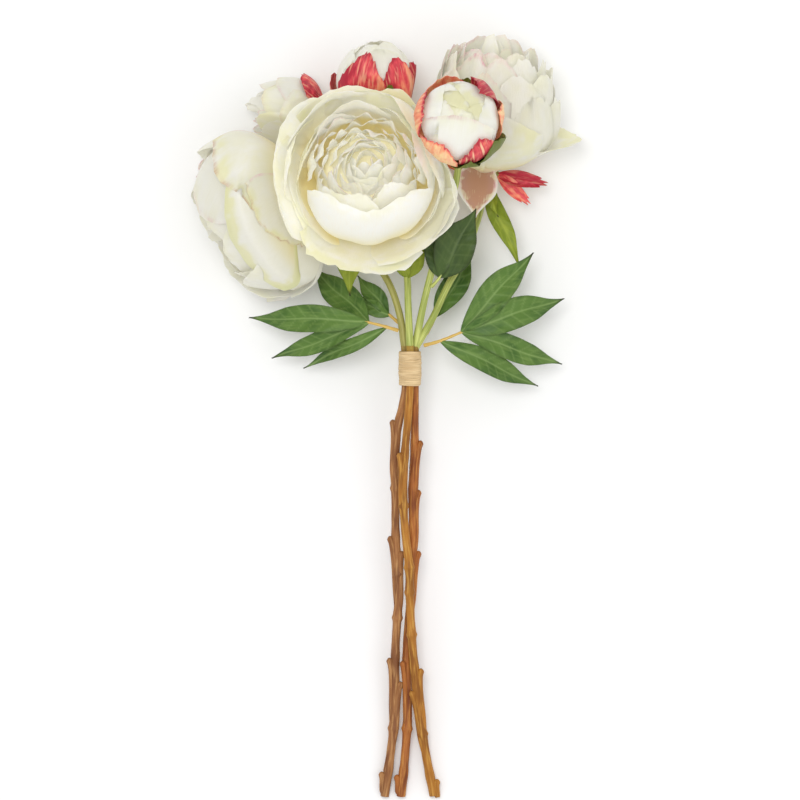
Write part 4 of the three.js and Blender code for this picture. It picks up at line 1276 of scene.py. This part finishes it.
def build_stem(node, stem, bark, seed):
    shape = Shape()
    path = smooth_path([stem_point(point) for point in stem["path"]], 460)
    tone = smooth(18, -8, path[1]) * 0.5
    radius = stem_radius(stem, path[1][-1], seed)
    add_tube(shape, path, radius, 24, 0, seed * 10, tone=tone)
    for y, x, z in stem["stubs"]:
        add_stub(shape, stem, y, x, z)
    for points, head, brown in stem["branches"]:
        add_branch(shape, points, head, brown, seed)
    for _, head, _ in stem["branches"]:
        add_disc(shape, head, seat_radius(head), receptacle_top(head), RECEPTACLE_THICKNESS, 1)
        if "sepals" in head:
            add_petals(shape, head, head["sepals"], slot=2)
    for leaflet in stem["blades"]:
        add_leaflet(shape, leaflet, 2)
    shape.build(node, [bark, GREEN_STEM, PALE_LEAF])


# The raffia tie: flat strands wound round the three stems, one above the other.

def add_strand(shape, start, width, radius, seed):
    draw = random.Random(seed)
    tilt = draw.uniform(-0.09, 0.09)
    phase = draw.uniform(0, 6.28)
    sides, turns = 96, 8
    angles = np.linspace(0, 2 * np.pi, sides, endpoint=False)
    angle = np.repeat(angles, turns)
    around = np.tile(np.linspace(0, 2 * np.pi, turns, endpoint=False), sides)
    reach = radius + 0.45 * np.cos(around) + 0.12 * np.sin(3 * angle + phase)
    x = reach * np.cos(angle)
    z = reach * np.sin(angle)
    y = start + width / 2 * np.sin(around) + 0.25 * np.sin(2 * angle + phase)
    y = y + tilt * reach * np.cos(angle + phase)
    slope = math.atan(SLOPE)
    turned_y = y * math.cos(slope) - z * math.sin(slope)
    turned_z = y * math.sin(slope) + z * math.cos(slope) + TIE_HEIGHT + 0.2
    across = np.tile(np.arange(turns), sides) * 0.5
    coord = np.stack([across, angle * radius, np.full(len(angle), seed * 3.0)], axis=1)
    points = np.stack([x, turned_y, turned_z], axis=1)
    shape.add(points, ring_faces(sides, turns, closed=True), 0, coord)


def build_tie():
    shape = Shape()
    draw = random.Random(11)
    for i in range(STRANDS):
        place = (i + 0.5) / STRANDS
        bulge = 0.3 * math.sin(math.pi * place)
        start = TIE_LENGTH * (0.5 - place) * 0.92
        add_strand(shape, start, draw.uniform(2.1, 2.7), TIE_RADIUS + bulge + draw.uniform(0, 0.25), i)
    shape.build("raffia_tie", [RAFFIA])


HEADS = [main_head, left_head, right_head, back_left_head, top_bud, round_bud]

build_stem("stem_left", left_stem, OLIVE_BARK, 1.0)
build_stem("stem_middle", middle_stem, RED_BARK, 2.0)
build_stem("stem_right", right_stem, GOLD_BARK, 3.0)
build_tie()
for head in HEADS:
    build_head(head)
for head in HEADS:
    if "calyx" in head:
        build_calyx(head)
for node, leaf in LEAVES.items():
    build_leaf(node, leaf)


# Floor, light and camera

def build_stage():
    mesh = bpy.data.meshes.new("floor")
    corners = [(-1, -1), (1, -1), (1, 1), (-1, 1)]
    mesh.from_pydata([(x * FLOOR_REACH, y * FLOOR_REACH, 0) for x, y in corners], [], [(0, 1, 2, 3)])
    mesh.materials.append(floor_material())
    floor = bpy.data.objects.new("floor", mesh)
    bpy.context.collection.objects.link(floor)


def build_light():
    world = bpy.data.worlds.new("studio")
    world.use_nodes = True
    background = world.node_tree.nodes["Background"]
    background.inputs["Color"].default_value = (1.0, 1.0, 1.0, 1)
    background.inputs["Strength"].default_value = SKY_LIGHT
    bpy.context.scene.world = world
    for name, kind in LIGHTS.items():
        light = bpy.data.lights.new(name, "AREA")
        light.shape = "DISK"
        light.size = kind["size"]
        light.energy = kind["power"]
        lamp = bpy.data.objects.new(name, light)
        lamp.location = kind["place"]
        lamp.rotation_euler = (LIT_PLACE - Vector(kind["place"])).to_track_quat("-Z", "Y").to_euler()
        bpy.context.collection.objects.link(lamp)


def build_camera():
    """A camera straight above the tie, as far off as makes the photo's scale."""
    camera = bpy.data.cameras.new("camera")
    camera.lens = LENS
    camera.sensor_width = SENSOR
    camera.clip_end = 100
    holder = bpy.data.objects.new("camera", camera)
    middle = PHOTO_SIZE / 2
    x = (middle - TIE_PIXEL[0]) * MM_PER_PIXEL
    y = (TIE_PIXEL[1] - middle) * MM_PER_PIXEL
    distance = PHOTO_SIZE * MM_PER_PIXEL * LENS / SENSOR
    holder.location = vector([x, y, TIE_HEIGHT + distance]) * MM + SHIFT
    bpy.context.collection.objects.link(holder)
    bpy.context.scene.camera = holder
    bpy.context.scene.view_settings.view_transform = "Standard"


build_stage()
build_light()
build_camera()
